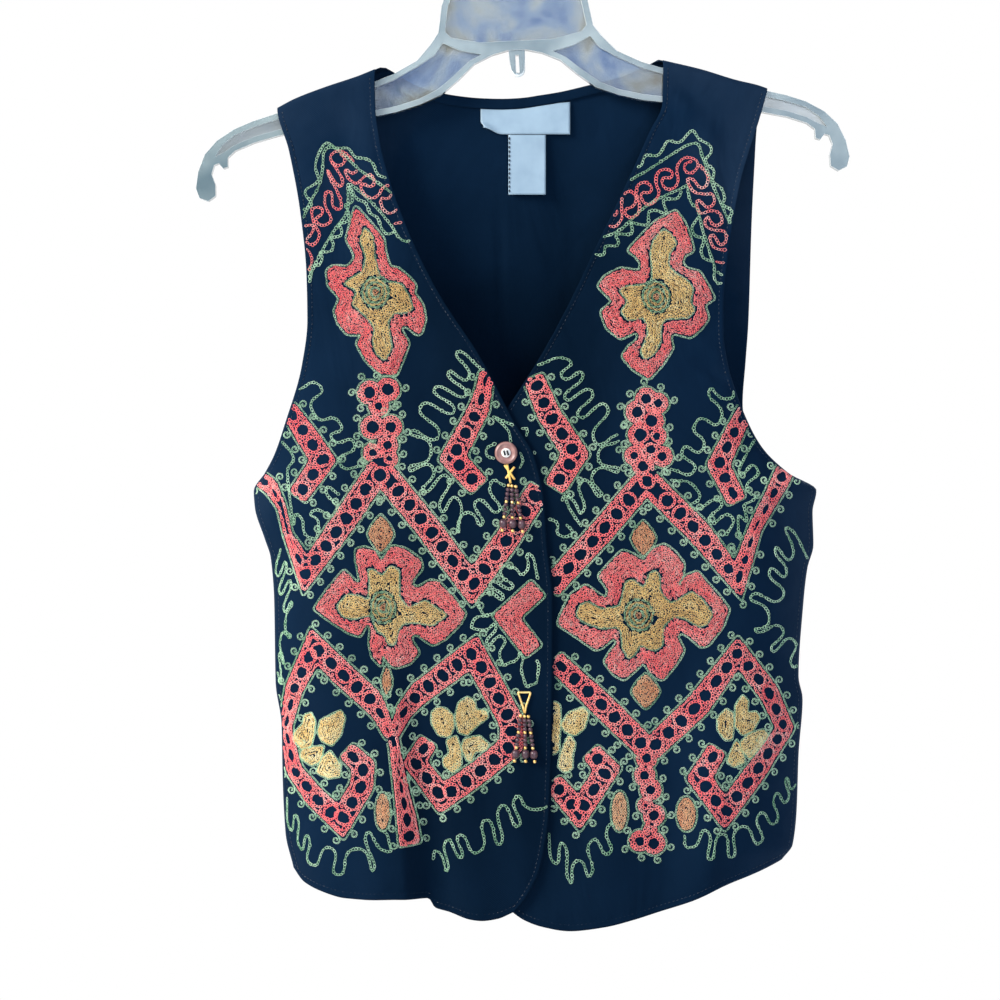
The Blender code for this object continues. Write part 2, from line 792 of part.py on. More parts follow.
def tube(name, path, radii, sides, closed=False):
    """A round bar along a path in millimetres, with a radius at each point and flat ends."""
    path = np.array(path, dtype=float)
    radii = np.broadcast_to(np.array(radii, dtype=float), (len(path),))
    before = np.roll(path, 1, axis=0)
    after = np.roll(path, -1, axis=0)
    if not closed:
        before[0] = path[0]
        after[-1] = path[-1]
    ahead = after - before
    ahead /= np.linalg.norm(ahead, axis=1, keepdims=True)
    aside = np.cross(ahead, (0.0, 1.0, 0.0))
    aside /= np.linalg.norm(aside, axis=1, keepdims=True)
    other = np.cross(ahead, aside)
    angle = np.arange(sides) * 2 * pi / sides
    ring = aside[:, None, :] * np.cos(angle)[None, :, None]
    ring = ring + other[:, None, :] * np.sin(angle)[None, :, None]
    points = path[:, None, :] + ring * radii[:, None, None]
    count = len(path)
    index = np.arange(count * sides).reshape(count, sides)
    start = index if closed else index[:-1]
    finish = np.roll(index, -1, axis=0) if closed else index[1:]
    faces = np.stack([start, np.roll(start, -1, axis=1), np.roll(finish, -1, axis=1), finish], axis=-1)
    faces = faces.reshape(-1, 4).tolist()
    if not closed:
        faces.append(index[0].tolist())
        faces.append(index[-1][::-1].tolist())
    mesh = bpy.data.meshes.new(name)
    mesh.from_pydata((points.reshape(-1, 3) * MM).tolist(), [], faces)
    work = bmesh.new()
    work.from_mesh(mesh)
    bmesh.ops.recalc_face_normals(work, faces=work.faces)
    work.to_mesh(mesh)
    work.free()
    mesh.shade_smooth()
    mesh.set_sharp_from_angle(angle=radians(40))
    return mesh


def guide(name, mesh):
    """A helper body for a Boolean, which is not a sub-part."""
    made = bpy.data.objects.new(name, mesh)
    bpy.context.scene.collection.objects.link(made)
    made.hide_render = True
    made.display_type = "WIRE"
    return made


def combine(target, helper, operation):
    """Joins a helper to a sub-part or cuts it away."""
    step = target.modifiers.new(helper.name, "BOOLEAN")
    step.object = helper
    step.operation = operation
    step.solver = "EXACT"


def half_pairs(rows, first, second):
    """Two columns of a table as a list of pairs."""
    return [(getattr(row, first), getattr(row, second)) for row in rows]


def mirrored(points):
    """The same half outline on the other side."""
    return [(-x, level) for x, level in points]


def both_halves(half):
    """A closed outline from its right half, given from top to bottom."""
    return half + mirrored(half)[::-1]


def hook_path():
    """The hook's centre line: up out of the body, then round a circle that the rail sits in."""
    radius = HOOK_INNER_RADIUS + HOOK_BAR_RADIUS
    stem = [(row.x, 0.0, -row.level) for row in HOOK_STEM]
    turns = np.radians(np.linspace(*HOOK_TURNS, HOOK_STEPS))
    return stem + [(radius * cos(turn), 0.0, radius * sin(turn) - HOOK_INNER_RADIUS) for turn in turns]


def make_hanger():
    """One moulding: arms with rims round a thin web, a window, a nub under the arch and the hook."""
    crown = half_pairs(HANGER_CROWN, "x", "level")
    upper = half_pairs(HANGER_ARM, "out", "top")
    lower = half_pairs(HANGER_ARM, "out", "bottom")[::-1]
    tip = half_pairs(HANGER_TIP, "x", "level")
    arch = half_pairs(HANGER_ARCH, "x", "level")
    outline = both_halves(crown + upper + tip + lower + arch)
    hanger = add_object("hanger", prism("hanger", outline, HANGER_HALF_DEPTH), "clear_plastic")
    helpers = []

    def shape(name, mesh, operation):
        helper = guide(name, mesh)
        combine(hanger, helper, operation)
        helpers.append(helper)

    top = [(out, level + HANGER_RIM) for out, level in upper]
    bottom = [(out, level - HANGER_RIM) for out, level in lower]
    panel = half_pairs(ARM_PANEL_START, "x", "level") + top + half_pairs(ARM_PANEL_END, "x", "level")
    panel = panel + bottom + half_pairs(ARM_PANEL_RETURN, "x", "level")
    window = both_halves(half_pairs(WINDOW, "x", "level"))
    half_recess = HANGER_HALF_DEPTH - HANGER_WEB_HALF
    for face, side in (("front", -1), ("rear", 1)):
        centre_y = side * (HANGER_WEB_HALF + half_recess)
        for place, edge in (("right", panel), ("left", mirrored(panel)), ("window", window)):
            name = f"recess_{place}_{face}"
            shape(name, prism(name, edge, half_recess, centre_y), "DIFFERENCE")

    nub = both_halves(half_pairs(NUB, "x", "level"))
    shape("nub", prism("nub", nub, NUB_HALF_DEPTH), "UNION")
    slot = both_halves(half_pairs(NUB_SLOT, "x", "level"))
    shape("nub_slot", prism("nub_slot", slot, HANGER_HALF_DEPTH), "DIFFERENCE")
    shape("hook", tube("hook", hook_path(), HOOK_BAR_RADIUS, HOOK_SIDES), "UNION")

    tilt = Matrix.Rotation(radians(-HANGER_TILT), 4, "Y")
    for piece in [hanger] + helpers:
        piece.data.transform(tilt)


def front_face(x, level):
    """Y of the lapping front's outer face at one place."""
    return -float(right_front_depth(np.array([x]), np.array([level]))[0])


def make_button():
    """A round button with a raised rim, a sunk middle, a centre disc and two holes."""
    x, level = BUTTON_PLACE
    back_y = front_face(x, level) - SEWN_GAP
    work = bmesh.new()
    points = [work.verts.new((ring.radius * MM, 0, ring.height * MM)) for ring in BUTTON_PROFILE]
    edges = [work.edges.new(pair) for pair in zip(points[:-1], points[1:])]
    bmesh.ops.spin(work, geom=points + edges, axis=(0, 0, 1), cent=(0, 0, 0), steps=BUTTON_STEPS,
                   angle=2 * pi, use_merge=True)
    bmesh.ops.remove_doubles(work, verts=work.verts, dist=0.00001)
    bmesh.ops.recalc_face_normals(work, faces=work.faces)
    mesh = bpy.data.meshes.new("button")
    work.to_mesh(mesh)
    work.free()
    mesh.shade_smooth()
    mesh.set_sharp_from_angle(angle=radians(45))
    face_viewer = Matrix.Rotation(radians(90), 4, "X")
    mesh.transform(Matrix.Translation((x * MM, back_y * MM, -level * MM)) @ face_viewer)
    button = add_object("button", mesh, "button_plastic")
    turns = np.arange(8) * pi / 4
    for name, hole_x in (("hole_left", x - BUTTON_HOLE_OFFSET), ("hole_right", x + BUTTON_HOLE_OFFSET)):
        circle = [(hole_x + BUTTON_HOLE_RADIUS * cos(turn), level + BUTTON_HOLE_RADIUS * sin(turn))
                  for turn in turns]
        combine(button, guide(name, prism(name, circle, BUTTON_DIAMETER, back_y)), "DIFFERENCE")


def hanging_bar(name, root, beads, sides):
    """A turned bar that hangs from its root just in front of the cloth, thick as its beads are."""
    share = column(beads, "share")
    x = root.x + root.lean * share
    level = root.top + root.length * share
    y = -right_front_depth(x, level) - SEAM_GAP - BARREL_RADIUS
    return tube(name, np.stack([x, y, -level], axis=-1), column(beads, "radius"), sides)


def make_tassel(name, head, strands):
    """A head with its strands of beads rooted in it."""
    tassel = add_object(name, hanging_bar(name, head, HEAD_BEADS, HEAD_SIDES), "bead_glass")
    for number, strand in enumerate(strands):
        part = f"{name}_strand_{number}"
        combine(tassel, guide(part, hanging_bar(part, strand, STRAND_BEADS, STRAND_SIDES)), "UNION")


def make_bail():
    """The small triangle of gold wire that carries the lower tassel."""
    x = LOWER_TASSEL_HEAD.x
    middle = (BAIL_TOP + BAIL_BOTTOM) / 2
    y = front_face(x, middle) - SEAM_GAP - BAIL_WIRE
    corners = [(x - BAIL_HALF_WIDTH, BAIL_TOP), (x + BAIL_HALF_WIDTH, BAIL_TOP + 0.6), (x, BAIL_BOTTOM)]
    path = []
    for (x0, l0), (x1, l1) in zip(corners, corners[1:] + corners[:1]):
        for share in BAIL_SHARES:
            path.append((x0 + share * (x1 - x0), y, -(l0 + share * (l1 - l0))))
    add_object("bail", tube("bail", path, BAIL_WIRE, BAIL_SIDES, closed=True), "gold_wire")


def clear_scene():
    """Removes whatever the open file holds."""
    for item in list(bpy.data.objects):
        bpy.data.objects.remove(item, do_unlink=True)


def main():
    clear_scene()
    make_hanger()
    make_body()
    make_neck_band()
    make_label()
    make_care_tag()
    make_button()
    make_tassel("upper_tassel", UPPER_TASSEL_HEAD, UPPER_TASSEL)
    make_tassel("lower_tassel", LOWER_TASSEL_HEAD, LOWER_TASSEL)
    make_bail()


main()
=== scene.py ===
# Looks of the embroidered vest on its clothes hanger.
# Shapes are worked out in millimetres and MM turns them into metres; a level is a depth below the rail.
# X runs to the viewer's right and Y away from the viewer. Every piece sits at the origin, as the frame's do.

from collections import namedtuple

import bmesh
import bpy
import numpy as np
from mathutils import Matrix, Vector


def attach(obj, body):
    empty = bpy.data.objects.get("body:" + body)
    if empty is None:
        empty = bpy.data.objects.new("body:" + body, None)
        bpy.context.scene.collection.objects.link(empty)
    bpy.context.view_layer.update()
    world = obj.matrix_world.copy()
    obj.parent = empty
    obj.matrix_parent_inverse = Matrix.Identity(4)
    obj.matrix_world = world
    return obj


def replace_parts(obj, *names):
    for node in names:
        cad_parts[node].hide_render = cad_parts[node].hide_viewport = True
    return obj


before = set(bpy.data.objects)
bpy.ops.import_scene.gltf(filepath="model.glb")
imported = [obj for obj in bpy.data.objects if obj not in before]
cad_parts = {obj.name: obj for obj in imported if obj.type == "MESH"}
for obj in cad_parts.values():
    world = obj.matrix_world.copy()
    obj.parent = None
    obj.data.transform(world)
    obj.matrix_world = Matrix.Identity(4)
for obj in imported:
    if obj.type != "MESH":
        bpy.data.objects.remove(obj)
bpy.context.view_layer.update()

MM = 0.001

# Sizes that the cloth shares with the solids
CLOTH = 1.5
LAP_GAP = 1.1
LAP_MARGIN = 4.0
LAP_FADE = 36.0
LAP_START = 295.0
SHOULDER_WRAP = 8.0
WRAP_SQUARENESS = 3.5
SIDE_ROUNDING = 62.0
EDGE_ROUNDING = 48.0
SEAM_GAP = 0.3

# Sizes of the finer cloth and its sewing
FABRIC = 0.9
HEM_WIDTH = 3.4
HEM_SWELL = 0.35
HEM_STEP = 1.2
GROOVE_DEPTH = 0.3
GROOVE_WIDTH = 0.9
PUCKER_HEIGHT = 0.16
PUCKER_REACH = 3.0
PUCKER_SLANT = 0.83
# Puckers along an edge: how fast each wave goes, where it starts and its height
PUCKER_WAVES = ((0.71, 0.0, 1.0), (1.13, 1.3, 0.6))
ROUNDING_POWER = 0.75
FINE_FADE = 14.0
FINE_FADE_AT_LAP = 12.0
WRAP_ANGLES = (0, 8, 16, 25, 34, 44, 55, 66, 78, 90)
MEETING_ROUNDS = 40

SEED = 7

# Kinds of rows in the tables below
Edge = namedtuple("Edge", "level x depth")
Line = namedtuple("Line", "x level")
Depth = namedtuple("Depth", "level depth")
Fold = namedtuple("Fold", "level crest foot height")
Wave = namedtuple("Wave", "x width height reach")
Crowd = namedtuple("Crowd", "place width extra")
Crease = namedtuple("Crease", "x level end_x end_level width height")
Panel = namedtuple("Panel", "left right left_rounding right_rounding top hem body ridge waves")
Turn = namedtuple("Turn", "ahead aside lift")
Kind = namedtuple("Kind", "pitch width thread loop uneven tone")
Corner = namedtuple("Corner", "x level half")
Hole = namedtuple("Hole", "x level radius")
Place = namedtuple("Place", "x level wide high")
Trim = namedtuple("Trim", "left right top bottom")
Strand = namedtuple("Strand", "x top lean length")
Peg = namedtuple("Peg", "x level height half bar")
Lamp = namedtuple("Lamp", "name place aim size power colour")


def table(row, *values):
    """Rows of one kind, from the groups of numbers in them."""
    return tuple(row(*group) for group in values)


# Side seams from the underarm to the hem; both pieces that meet there share them at depth 0
RIGHT_SIDE_SEAM = table(
    Edge, (417.5, -170.8, 0), (428.2, -170.1, 0), (449.6, -163.4, 0), (462.2, -159.4, 0),
    (490.2, -157.1, 0), (546.3, -156.1, 0), (574.3, -152.1, 0), (609.6, -151.4, 0), (647.7, -149.4, 0),
    (670.3, -144.1, 0), (710, -136, 0))
LEFT_SIDE_SEAM = table(
    Edge, (417, 207.4, 0), (431.5, 204.8, 0), (453.6, 205.4, 0), (468.9, 201.4, 0), (490.2, 198.8, 0),
    (542.3, 195.4, 0), (557, 198.1, 0), (594.3, 195.4, 0), (631.6, 194.1, 0), (655, 191.4, 0),
    (665, 184.1, 0), (712, 150, 0))
# Armholes from the shoulder to the underarm
RIGHT_FRONT_ARMHOLE = table(
    Edge, (120, -154.7, 8), (160.1, -154.7, 8), (189.4, -146.7, 9.5), (232.8, -138.7, 12),
    (273.5, -134.7, 14), (303.5, -134.1, 14.5), (334.8, -138.1, 13.5), (372.9, -149.4, 11),
    (392.2, -156.1, 8.5), (405, -162.8, 5))
LEFT_FRONT_ARMHOLE = table(
    Edge, (110, 174.1, 8), (146.1, 174.1, 8), (158.1, 171.4, 8.4), (169.4, 168.1, 9), (208.8, 156.1, 11),
    (236.8, 150.7, 12.5), (264.8, 146.7, 13.5), (292.8, 144.1, 14.5), (312.2, 144.1, 14.5),
    (330.8, 146.7, 13.5), (345.5, 150.7, 12.5), (371.5, 160.7, 11), (388.9, 170.8, 8.5), (405.5, 188.4, 5))
BACK_ARMHOLE_BESIDE_RIGHT = table(
    Edge, (120, -154.7, 8), (160.1, -154.7, 8), (189.4, -144.7, 10), (232.8, -135.4, 12.5),
    (273.5, -131, 14), (303.5, -130.4, 14.5), (334.8, -134.4, 13.5), (372.9, -145.4, 11),
    (392.2, -152.7, 8.5), (405, -159.8, 5))
BACK_ARMHOLE_BESIDE_LEFT = table(
    Edge, (110, 174.1, 8), (146.1, 174.1, 8), (158.1, 171.5, 8.8), (170.8, 168.1, 9.6), (199.4, 166.4, 11),
    (236.8, 164.7, 13), (302.2, 162.7, 15), (330.8, 160.7, 15), (358.8, 158.7, 14), (378.2, 162, 12),
    (395.5, 173, 8), (408, 188.8, 4))
# Neckline and front edge: the lapping edge, then the hidden edge under it
RIGHT_FRONT_EDGE = table(
    Edge, (120, -89.4, 8), (133.4, -89.4, 8), (158.1, -89, 8.6), (185.4, -85.4, 10), (206.8, -80, 11.5),
    (236.8, -69.4, 14), (266.8, -56, 17), (290.1, -43.4, 19.5), (326.8, -19.3, 23), (373.5, 5.3, 27),
    (394.2, 17.3, 28.5), (424.2, 24, 29.5), (453.6, 26, 30), (490.2, 29.7, 30.5), (574.3, 29, 31.5),
    (630.3, 27.3, 32), (651.7, 24.7, 32), (669.7, 20.7, 32), (687, 12, 32), (697, 4, 32), (712, -6, 32))
LEFT_FRONT_EDGE = table(
    Edge, (110, 104.1, 8), (128.1, 104.1, 8), (158.1, 103.4, 8.6), (177.4, 94.7, 10), (200.1, 84.7, 12),
    (227.4, 72, 14.5), (254.8, 58.7, 17.5), (290.1, 42, 21.5), (326.1, 22.7, 25), (349.5, 8, 27),
    (370.2, -5.3, 28.5), (386.9, -13.3, 29), (410, -16, 29.5), (490.2, -16, 30.5), (623.6, -14.7, 32),
    (657, -12, 32), (680.3, -7.3, 32), (692.4, -2, 32), (716, 8, 32))
# Shoulder seams, which front and back share, and the back neck between them
RIGHT_SHOULDER = table(
    Line, (-154.7, 160.1), (-143.4, 154.1), (-122.7, 146.1), (-100.7, 138.7), (-89.4, 134.1))
LEFT_SHOULDER = table(
    Line, (104.1, 128.1), (129.4, 134.1), (153.4, 141.4), (167, 144.6), (174.1, 147))
BACK_NECK = table(
    Line, (-83, 132.2), (-77, 135), (-64, 143), (-52, 147.2), (-34, 150.8), (-18, 152.4), (-4, 152.8),
    (8, 152.3), (22.7, 150.2), (35, 148.2), (55.4, 143.4), (78, 137.6), (94, 130.4), (101, 127.6))
# The level that the shoulders would have if they ran on to the centre
RIDGE_BETWEEN = table(
    Line, (-83, 132.2), (-60, 120), (60, 115), (101, 127.6))
RIGHT_FRONT_HEM = table(
    Line, (-144.1, 670.3), (-136.7, 679), (-122.7, 685), (-108.7, 688.4), (-94.7, 689), (-73.4, 688.4),
    (-53, 688.7), (-48.5, 695), (-38.7, 697.7), (-24.7, 702.3), (-17.3, 703), (-7.3, 701.7), (4, 697))
LEFT_FRONT_HEM = table(
    Line, (-2, 692.4), (3.3, 697.7), (11.3, 703), (22.7, 707), (40.7, 709.7), (63.4, 707), (85.4, 701.7),
    (100.7, 697), (122.7, 689.7), (144.7, 680), (167.4, 672), (184.1, 665))
BACK_HEM = table(
    Line, (-144.1, 670.3), (-100, 677), (-40, 681), (20, 682), (90, 679), (150, 672), (184.1, 665))

# How far the middle of each panel stands from the hanger's plane
FRONT_BODY = table(
    Depth, (110, 8), (160, 9), (230, 15.5), (300, 22), (370, 27), (420, 29), (500, 30.5), (600, 32),
    (715, 33))
BACK_BODY = table(
    Depth, (110, 10.5), (160, 11), (200, 14.5), (260, 20), (340, 25), (420, 26), (560, 27), (700, 30))

# The deep fold of the right front: a roll whose flank drops back towards the front edge
DEEP_FOLD = table(
    Fold, (480, -80, -60, 0), (530, -79, -60, 3), (570, -77, -62, 8), (610, -76, -57.5, 12.5),
    (650, -72, -53.5, 15), (710, -68, -50, 16))
FOLD_RISE_SHARE = 0.36
FOLD_RISE_WIDTH = 46.0
FOLD_RETURN_WIDTH = 34.0

# Soft waves that fade upwards from the hem, spaced and sized unevenly
RIGHT_FRONT_WAVES = table(
    Wave, (-128, 13, 2.6, 190), (-101, 9, -2, 150))
LEFT_FRONT_WAVES = table(
    Wave, (62, 15, 2.2, 130), (98, 12, -2.4, 170), (131, 14, 3, 230), (164, 10, -2.2, 150))
BACK_WAVES = table(
    Wave, (-112, 14, 3, 210), (-66, 17, -3.6, 260), (-14, 15, 4.2, 330), (33, 19, -3.4, 240),
    (88, 16, 3.8, 290), (140, 13, -2.8, 190))

# Each panel of the body: edges, how wide they round off, lines above and below, depth and waves
RIGHT_FRONT = Panel(
    RIGHT_FRONT_ARMHOLE + RIGHT_SIDE_SEAM, RIGHT_FRONT_EDGE, SIDE_ROUNDING, EDGE_ROUNDING,
    RIGHT_SHOULDER, RIGHT_FRONT_HEM, FRONT_BODY, RIGHT_SHOULDER, RIGHT_FRONT_WAVES)
LEFT_FRONT = Panel(
    LEFT_FRONT_EDGE, LEFT_FRONT_ARMHOLE + LEFT_SIDE_SEAM, EDGE_ROUNDING, SIDE_ROUNDING,
    LEFT_SHOULDER, LEFT_FRONT_HEM, FRONT_BODY, LEFT_SHOULDER, LEFT_FRONT_WAVES)
BACK = Panel(
    BACK_ARMHOLE_BESIDE_RIGHT + RIGHT_SIDE_SEAM, BACK_ARMHOLE_BESIDE_LEFT + LEFT_SIDE_SEAM,
    SIDE_ROUNDING, SIDE_ROUNDING, RIGHT_SHOULDER + BACK_NECK + LEFT_SHOULDER, BACK_HEM,
    BACK_BODY, RIGHT_SHOULDER + RIDGE_BETWEEN + LEFT_SHOULDER, BACK_WAVES)

# Soft creases and pulls of the real cloth, each along one line, in their own sizes, and their depth in all
CREASE_DEPTH = 1.7
RIGHT_FRONT_CREASES = table(
    Crease, (-150, 428, -104, 470, 9, -1.5), (-146, 452, -112, 520, 12, 1.6),
    (-140, 540, -118, 660, 9, -1.3), (-120, 560, -98, 680, 11, 1.2), (-136, 330, -92, 352, 8, -1),
    (-112, 176, -118, 330, 16, -1.3), (-96, 160, -84, 250, 9, 0.9), (-64, 300, -40, 400, 14, -1.2),
    (-20, 420, 12, 470, 10, 1), (-30, 520, -10, 640, 14, -1.4), (0, 560, 12, 690, 10, 1.1),
    (-44, 600, -30, 695, 8, 1.3), (-78, 398, -66, 470, 12, 0.9))
LEFT_FRONT_CREASES = table(
    Crease, (106, 136, 128, 158, 5, -0.9), (112, 152, 140, 186, 7, 0.9), (104, 172, 126, 214, 8, -0.9),
    (128, 318, 146, 330, 3.2, 0.8), (122, 330, 144, 342, 3.6, -0.9), (130, 342, 150, 352, 3.2, 0.7),
    (150, 170, 142, 300, 9, -1.1), (176, 416, 196, 470, 11, -1.5), (150, 440, 192, 520, 12, 1.3),
    (184, 520, 180, 640, 9, -1.3), (166, 560, 158, 680, 12, 1.4), (60, 560, 74, 700, 13, 1.1),
    (112, 570, 108, 695, 11, -1.2), (52, 300, 74, 420, 16, -1.1), (138, 590, 134, 690, 9, 1.2))
BACK_CREASES = table(
    Crease, (-5.3, 223, -5, 350, 2.4, 1.3), (-14, 262, 4, 268, 1.8, -0.4), (34, 180, 52, 330, 20, 2),
    (-60, 190, -30, 320, 18, -1.8), (-118, 180, -60, 330, 15, 1.7), (120, 190, 82, 340, 16, -1.6),
    (-140, 440, -70, 560, 14, -1.8), (180, 440, 120, 570, 15, 1.7), (-30, 420, -44, 660, 17, 1.6),
    (60, 430, 76, 660, 18, -1.7), (10, 500, 22, 670, 11, 1.2))

# Chain stitch: one loop of thread as shares of the stitch's length ahead and width aside, and its lift
LOOP = table(
    Turn, (-0.08, 0, 0.05), (0.28, 0.33, 0), (0.80, 0.38, 0), (1.14, 0, 0.22),
    (0.80, -0.38, 0), (0.28, -0.33, 0))
SHORT_LOOP = table(
    Turn, (-0.10, 0, 0.05), (0.60, 0.40, 0), (1.18, 0, 0.2), (0.60, -0.40, 0))
DASH_LOOP = table(
    Turn, (0.14, 0, -0.1), (0.5, 0.5, 0.05), (0.86, 0, -0.1), (0.5, -0.5, 0.05))
APEX = 1.75
SUNK = 0.06
WIDTH_VARIES = 0.08
# How much of a stitch's shade comes from its row, from itself and from each turn of its loop
ROW_TONE = 0.25
STITCH_TONE = 0.4
TURN_TONE = 0.35
# Kinds of rows: length and width of a stitch, radius of its thread, how unevenly it lies, its tone
LINE = Kind(2.1, 2.0, 0.23, LOOP, 0.1, 0.1)
BAND = Kind(2.0, 1.9, 0.31, LOOP, 0.18, 0.05)
EDGE = Kind(1.9, 1.2, 0.21, LOOP, 0.06, 0.08)
COIL = Kind(1.5, 1.15, 0.2, SHORT_LOOP, 0.04, 0.3)
FILL = Kind(1.8, 1.7, 0.33, SHORT_LOOP, 0.3, 0.05)
DISC = Kind(1.6, 1.5, 0.28, SHORT_LOOP, 0.42, -0.05)
PETAL = Kind(1.8, 1.7, 0.33, SHORT_LOOP, 0.2, 0.25)
VEIN = Kind(1.8, 1.3, 0.22, LOOP, 0.06, 0.2)
DASH = Kind(2.9, 0.45, 0.12, DASH_LOOP, 0.03, 0.0)
BARTACK = Kind(2.9, 0.7, 0.3, DASH_LOOP, 0.03, 0.0)
KINDS = (LINE, BAND, EDGE, COIL, FILL, DISC, PETAL, VEIN, DASH, BARTACK)

# Bands of coral rows with a run of round holes, as the corners of their middle lines
RIGHT_BANDS = (
    table(Corner, (-85, 402, 8), (-109, 438, 8), (-135, 473, 6.8), (-147, 446, 2.8), (-151, 428, 3),
          (-158, 415, 5), (-168, 408, 5.3)),
    table(Corner, (-84, 404, 8), (-53, 442, 8.2), (-24, 481, 8), (-1, 450, 8), (21, 416, 7.6)),
    table(Corner, (-147, 362, 5.5), (-134, 381, 7.4), (-123, 397, 7.6), (-140, 421, 6.8)),
    table(Corner, (-14, 338, 4.5), (-16.5, 352, 5.5), (-19, 362, 6.8), (-37, 395.5, 7.6),
          (-19.5, 414, 7.4)),
    table(Corner, (-77.9, 581, 3.2), (-84, 566, 5.6), (-91, 556, 7.6), (-109, 540, 8), (-129, 521, 7.6),
          (-143, 550, 6), (-149, 576, 4.4), (-143, 604, 5.6), (-128, 622, 7), (-111, 637, 7.6),
          (-97, 613, 7.6), (-96, 600, 7.4), (-107, 590, 6.4)),
    table(Corner, (-76.3, 581, 3.2), (-69, 564, 5.6), (-59, 552, 7.4), (-23, 525, 8), (2.5, 571, 8),
          (2.5, 586, 7.8), (-16, 602, 7.6), (-44, 621.5, 7.8), (-62, 598, 7), (-53, 584, 6.4)),
    table(Corner, (-77.1, 576, 3.2), (-74.4, 592, 3.6), (-71, 614, 4.6), (-67, 636, 6.2), (-65, 652, 7)),
)
LEFT_BANDS = (
    table(Corner, (17, 342, 6.9), (27, 366, 7.6), (45, 393, 8), (31, 415, 7.4)),
    table(Corner, (92, 410, 8), (61, 446, 8), (28, 482, 7.2)),
    table(Corner, (93, 411, 8), (127, 445, 8), (153, 477, 6), (164, 443, 4.4), (186, 403, 6.4)),
    table(Corner, (159, 363, 5.6), (140, 400, 7.2), (152, 424, 6.4)),
    table(Corner, (31, 530, 6.6), (63, 560, 8), (92.5, 589, 7.6)),
    table(Corner, (94, 590, 7.6), (126, 560, 8), (153, 525, 6.6), (174, 552, 6.8), (185, 576, 6),
          (165, 604, 7.2), (144, 631, 7.2), (127, 608, 7.4), (139, 589, 6.6)),
    table(Corner, (30, 611, 6.6), (47, 631, 7.4), (66, 602, 7.4), (55, 591, 6.6)),
)
SOLID_CHEVRON = table(
    Corner, (20, 482, 6.8), (-1, 501, 6.8), (17, 524, 6.8))

# The stems between medallion and bands: clusters of rings, by the holes in them
RIGHT_STEM = table(
    Hole, (-92, 352, 3.9), (-80, 350, 3.9), (-86, 361, 2.7), (-90, 375, 4.1), (-78, 375, 3.5),
    (-90, 392, 2.4), (-80, 387, 3), (-79, 396, 1.9), (-85, 407, 4.2))
LEFT_STEM = table(
    Hole, (92, 356, 3.2), (100, 359, 2.8), (86, 365, 3.6), (95.5, 371, 3.9), (99, 381, 2.4), (88, 380, 4.2),
    (84, 394, 2.6), (95, 390, 2.9), (102.5, 394.5, 2.9), (90, 401, 3.3), (92.5, 411, 3.6), (92, 595, 3),
    (90.8, 606.5, 3), (94.8, 616, 3), (91.4, 626.5, 1.4), (97, 633, 3.3), (94.6, 642, 0.7), (87.6, 650, 3),
    (97, 651.5, 3.4))

# Outlines by their corners as pairs of x and level, softened when they are sewn: the medallions'
# coral lobes, their gold hearts, the petals of the flowers; then the green discs and the buds
RIGHT_UPPER_MEDALLION = (
    (-102, 227), (-92, 238), (-83, 249), (-82, 258), (-79, 268), (-73, 269), (-66, 275), (-61, 281),
    (-63, 285), (-57, 293), (-55, 303), (-58, 313), (-61, 313), (-68, 307), (-72, 309), (-66, 319),
    (-70, 330), (-74, 340), (-85, 340), (-95, 330), (-101, 319), (-97, 313), (-107, 313), (-113, 306),
    (-116, 297), (-112, 289), (-120, 280), (-121, 270), (-117, 267), (-107, 268), (-102, 262),
    (-103, 258), (-108, 249), (-106, 242))
RIGHT_UPPER_HEART = (
    (-96, 241), (-90, 247), (-89, 260), (-86, 273), (-80, 278), (-71, 279), (-66, 287), (-63, 296),
    (-68, 299), (-76, 299), (-80, 305), (-77, 322), (-82, 331), (-88, 326), (-90, 318), (-89, 308),
    (-95, 301), (-104, 293), (-101, 284), (-110, 279), (-104, 275), (-97, 271), (-95, 261), (-99, 250))
LEFT_UPPER_MEDALLION = (
    (112, 230), (118, 238), (122, 249), (124, 257), (118, 260), (116, 265), (119, 269), (128, 271),
    (134, 281), (138, 289), (131, 293), (134, 302), (129, 309), (122, 315), (110, 312), (108, 315),
    (110, 322), (103, 333), (94, 343), (84, 337), (76, 328), (80, 322), (87, 316), (86, 311), (75, 316),
    (66, 309), (62, 298), (70, 291), (60, 281), (65, 274), (75, 269), (88, 271), (89, 266), (86, 261),
    (80, 257), (88, 248), (98, 238))
LEFT_UPPER_HEART = (
    (104, 242), (109, 246), (113, 252), (108, 259), (107, 267), (112, 272), (120, 277), (124, 282),
    (122, 291), (125, 297), (121, 302), (105, 303), (102, 307), (102, 318), (98, 326), (91, 330),
    (88, 325), (93, 314), (93, 307), (90, 302), (80, 304), (75, 298), (80, 291), (74, 284), (78, 281),
    (90, 280), (96, 277), (96, 268), (95, 258), (97, 250))
RIGHT_MIDDLE_MEDALLION = (
    (-101, 456), (-95, 455), (-89, 457), (-84, 464), (-77, 454), (-68, 456), (-58, 463), (-57, 469),
    (-63, 476), (-64, 480), (-60, 482), (-52, 477), (-46, 478), (-36, 488), (-28, 499), (-32, 506),
    (-42, 516), (-50, 520), (-56, 516), (-61, 512), (-65, 515), (-59, 525), (-65, 532), (-75, 535),
    (-80, 531), (-83, 526), (-84, 534), (-90, 528), (-92, 519), (-91, 507), (-94, 506), (-98, 514),
    (-105, 512), (-118, 504), (-129, 496), (-120, 483), (-109, 470), (-100, 479), (-98, 478), (-101, 463))
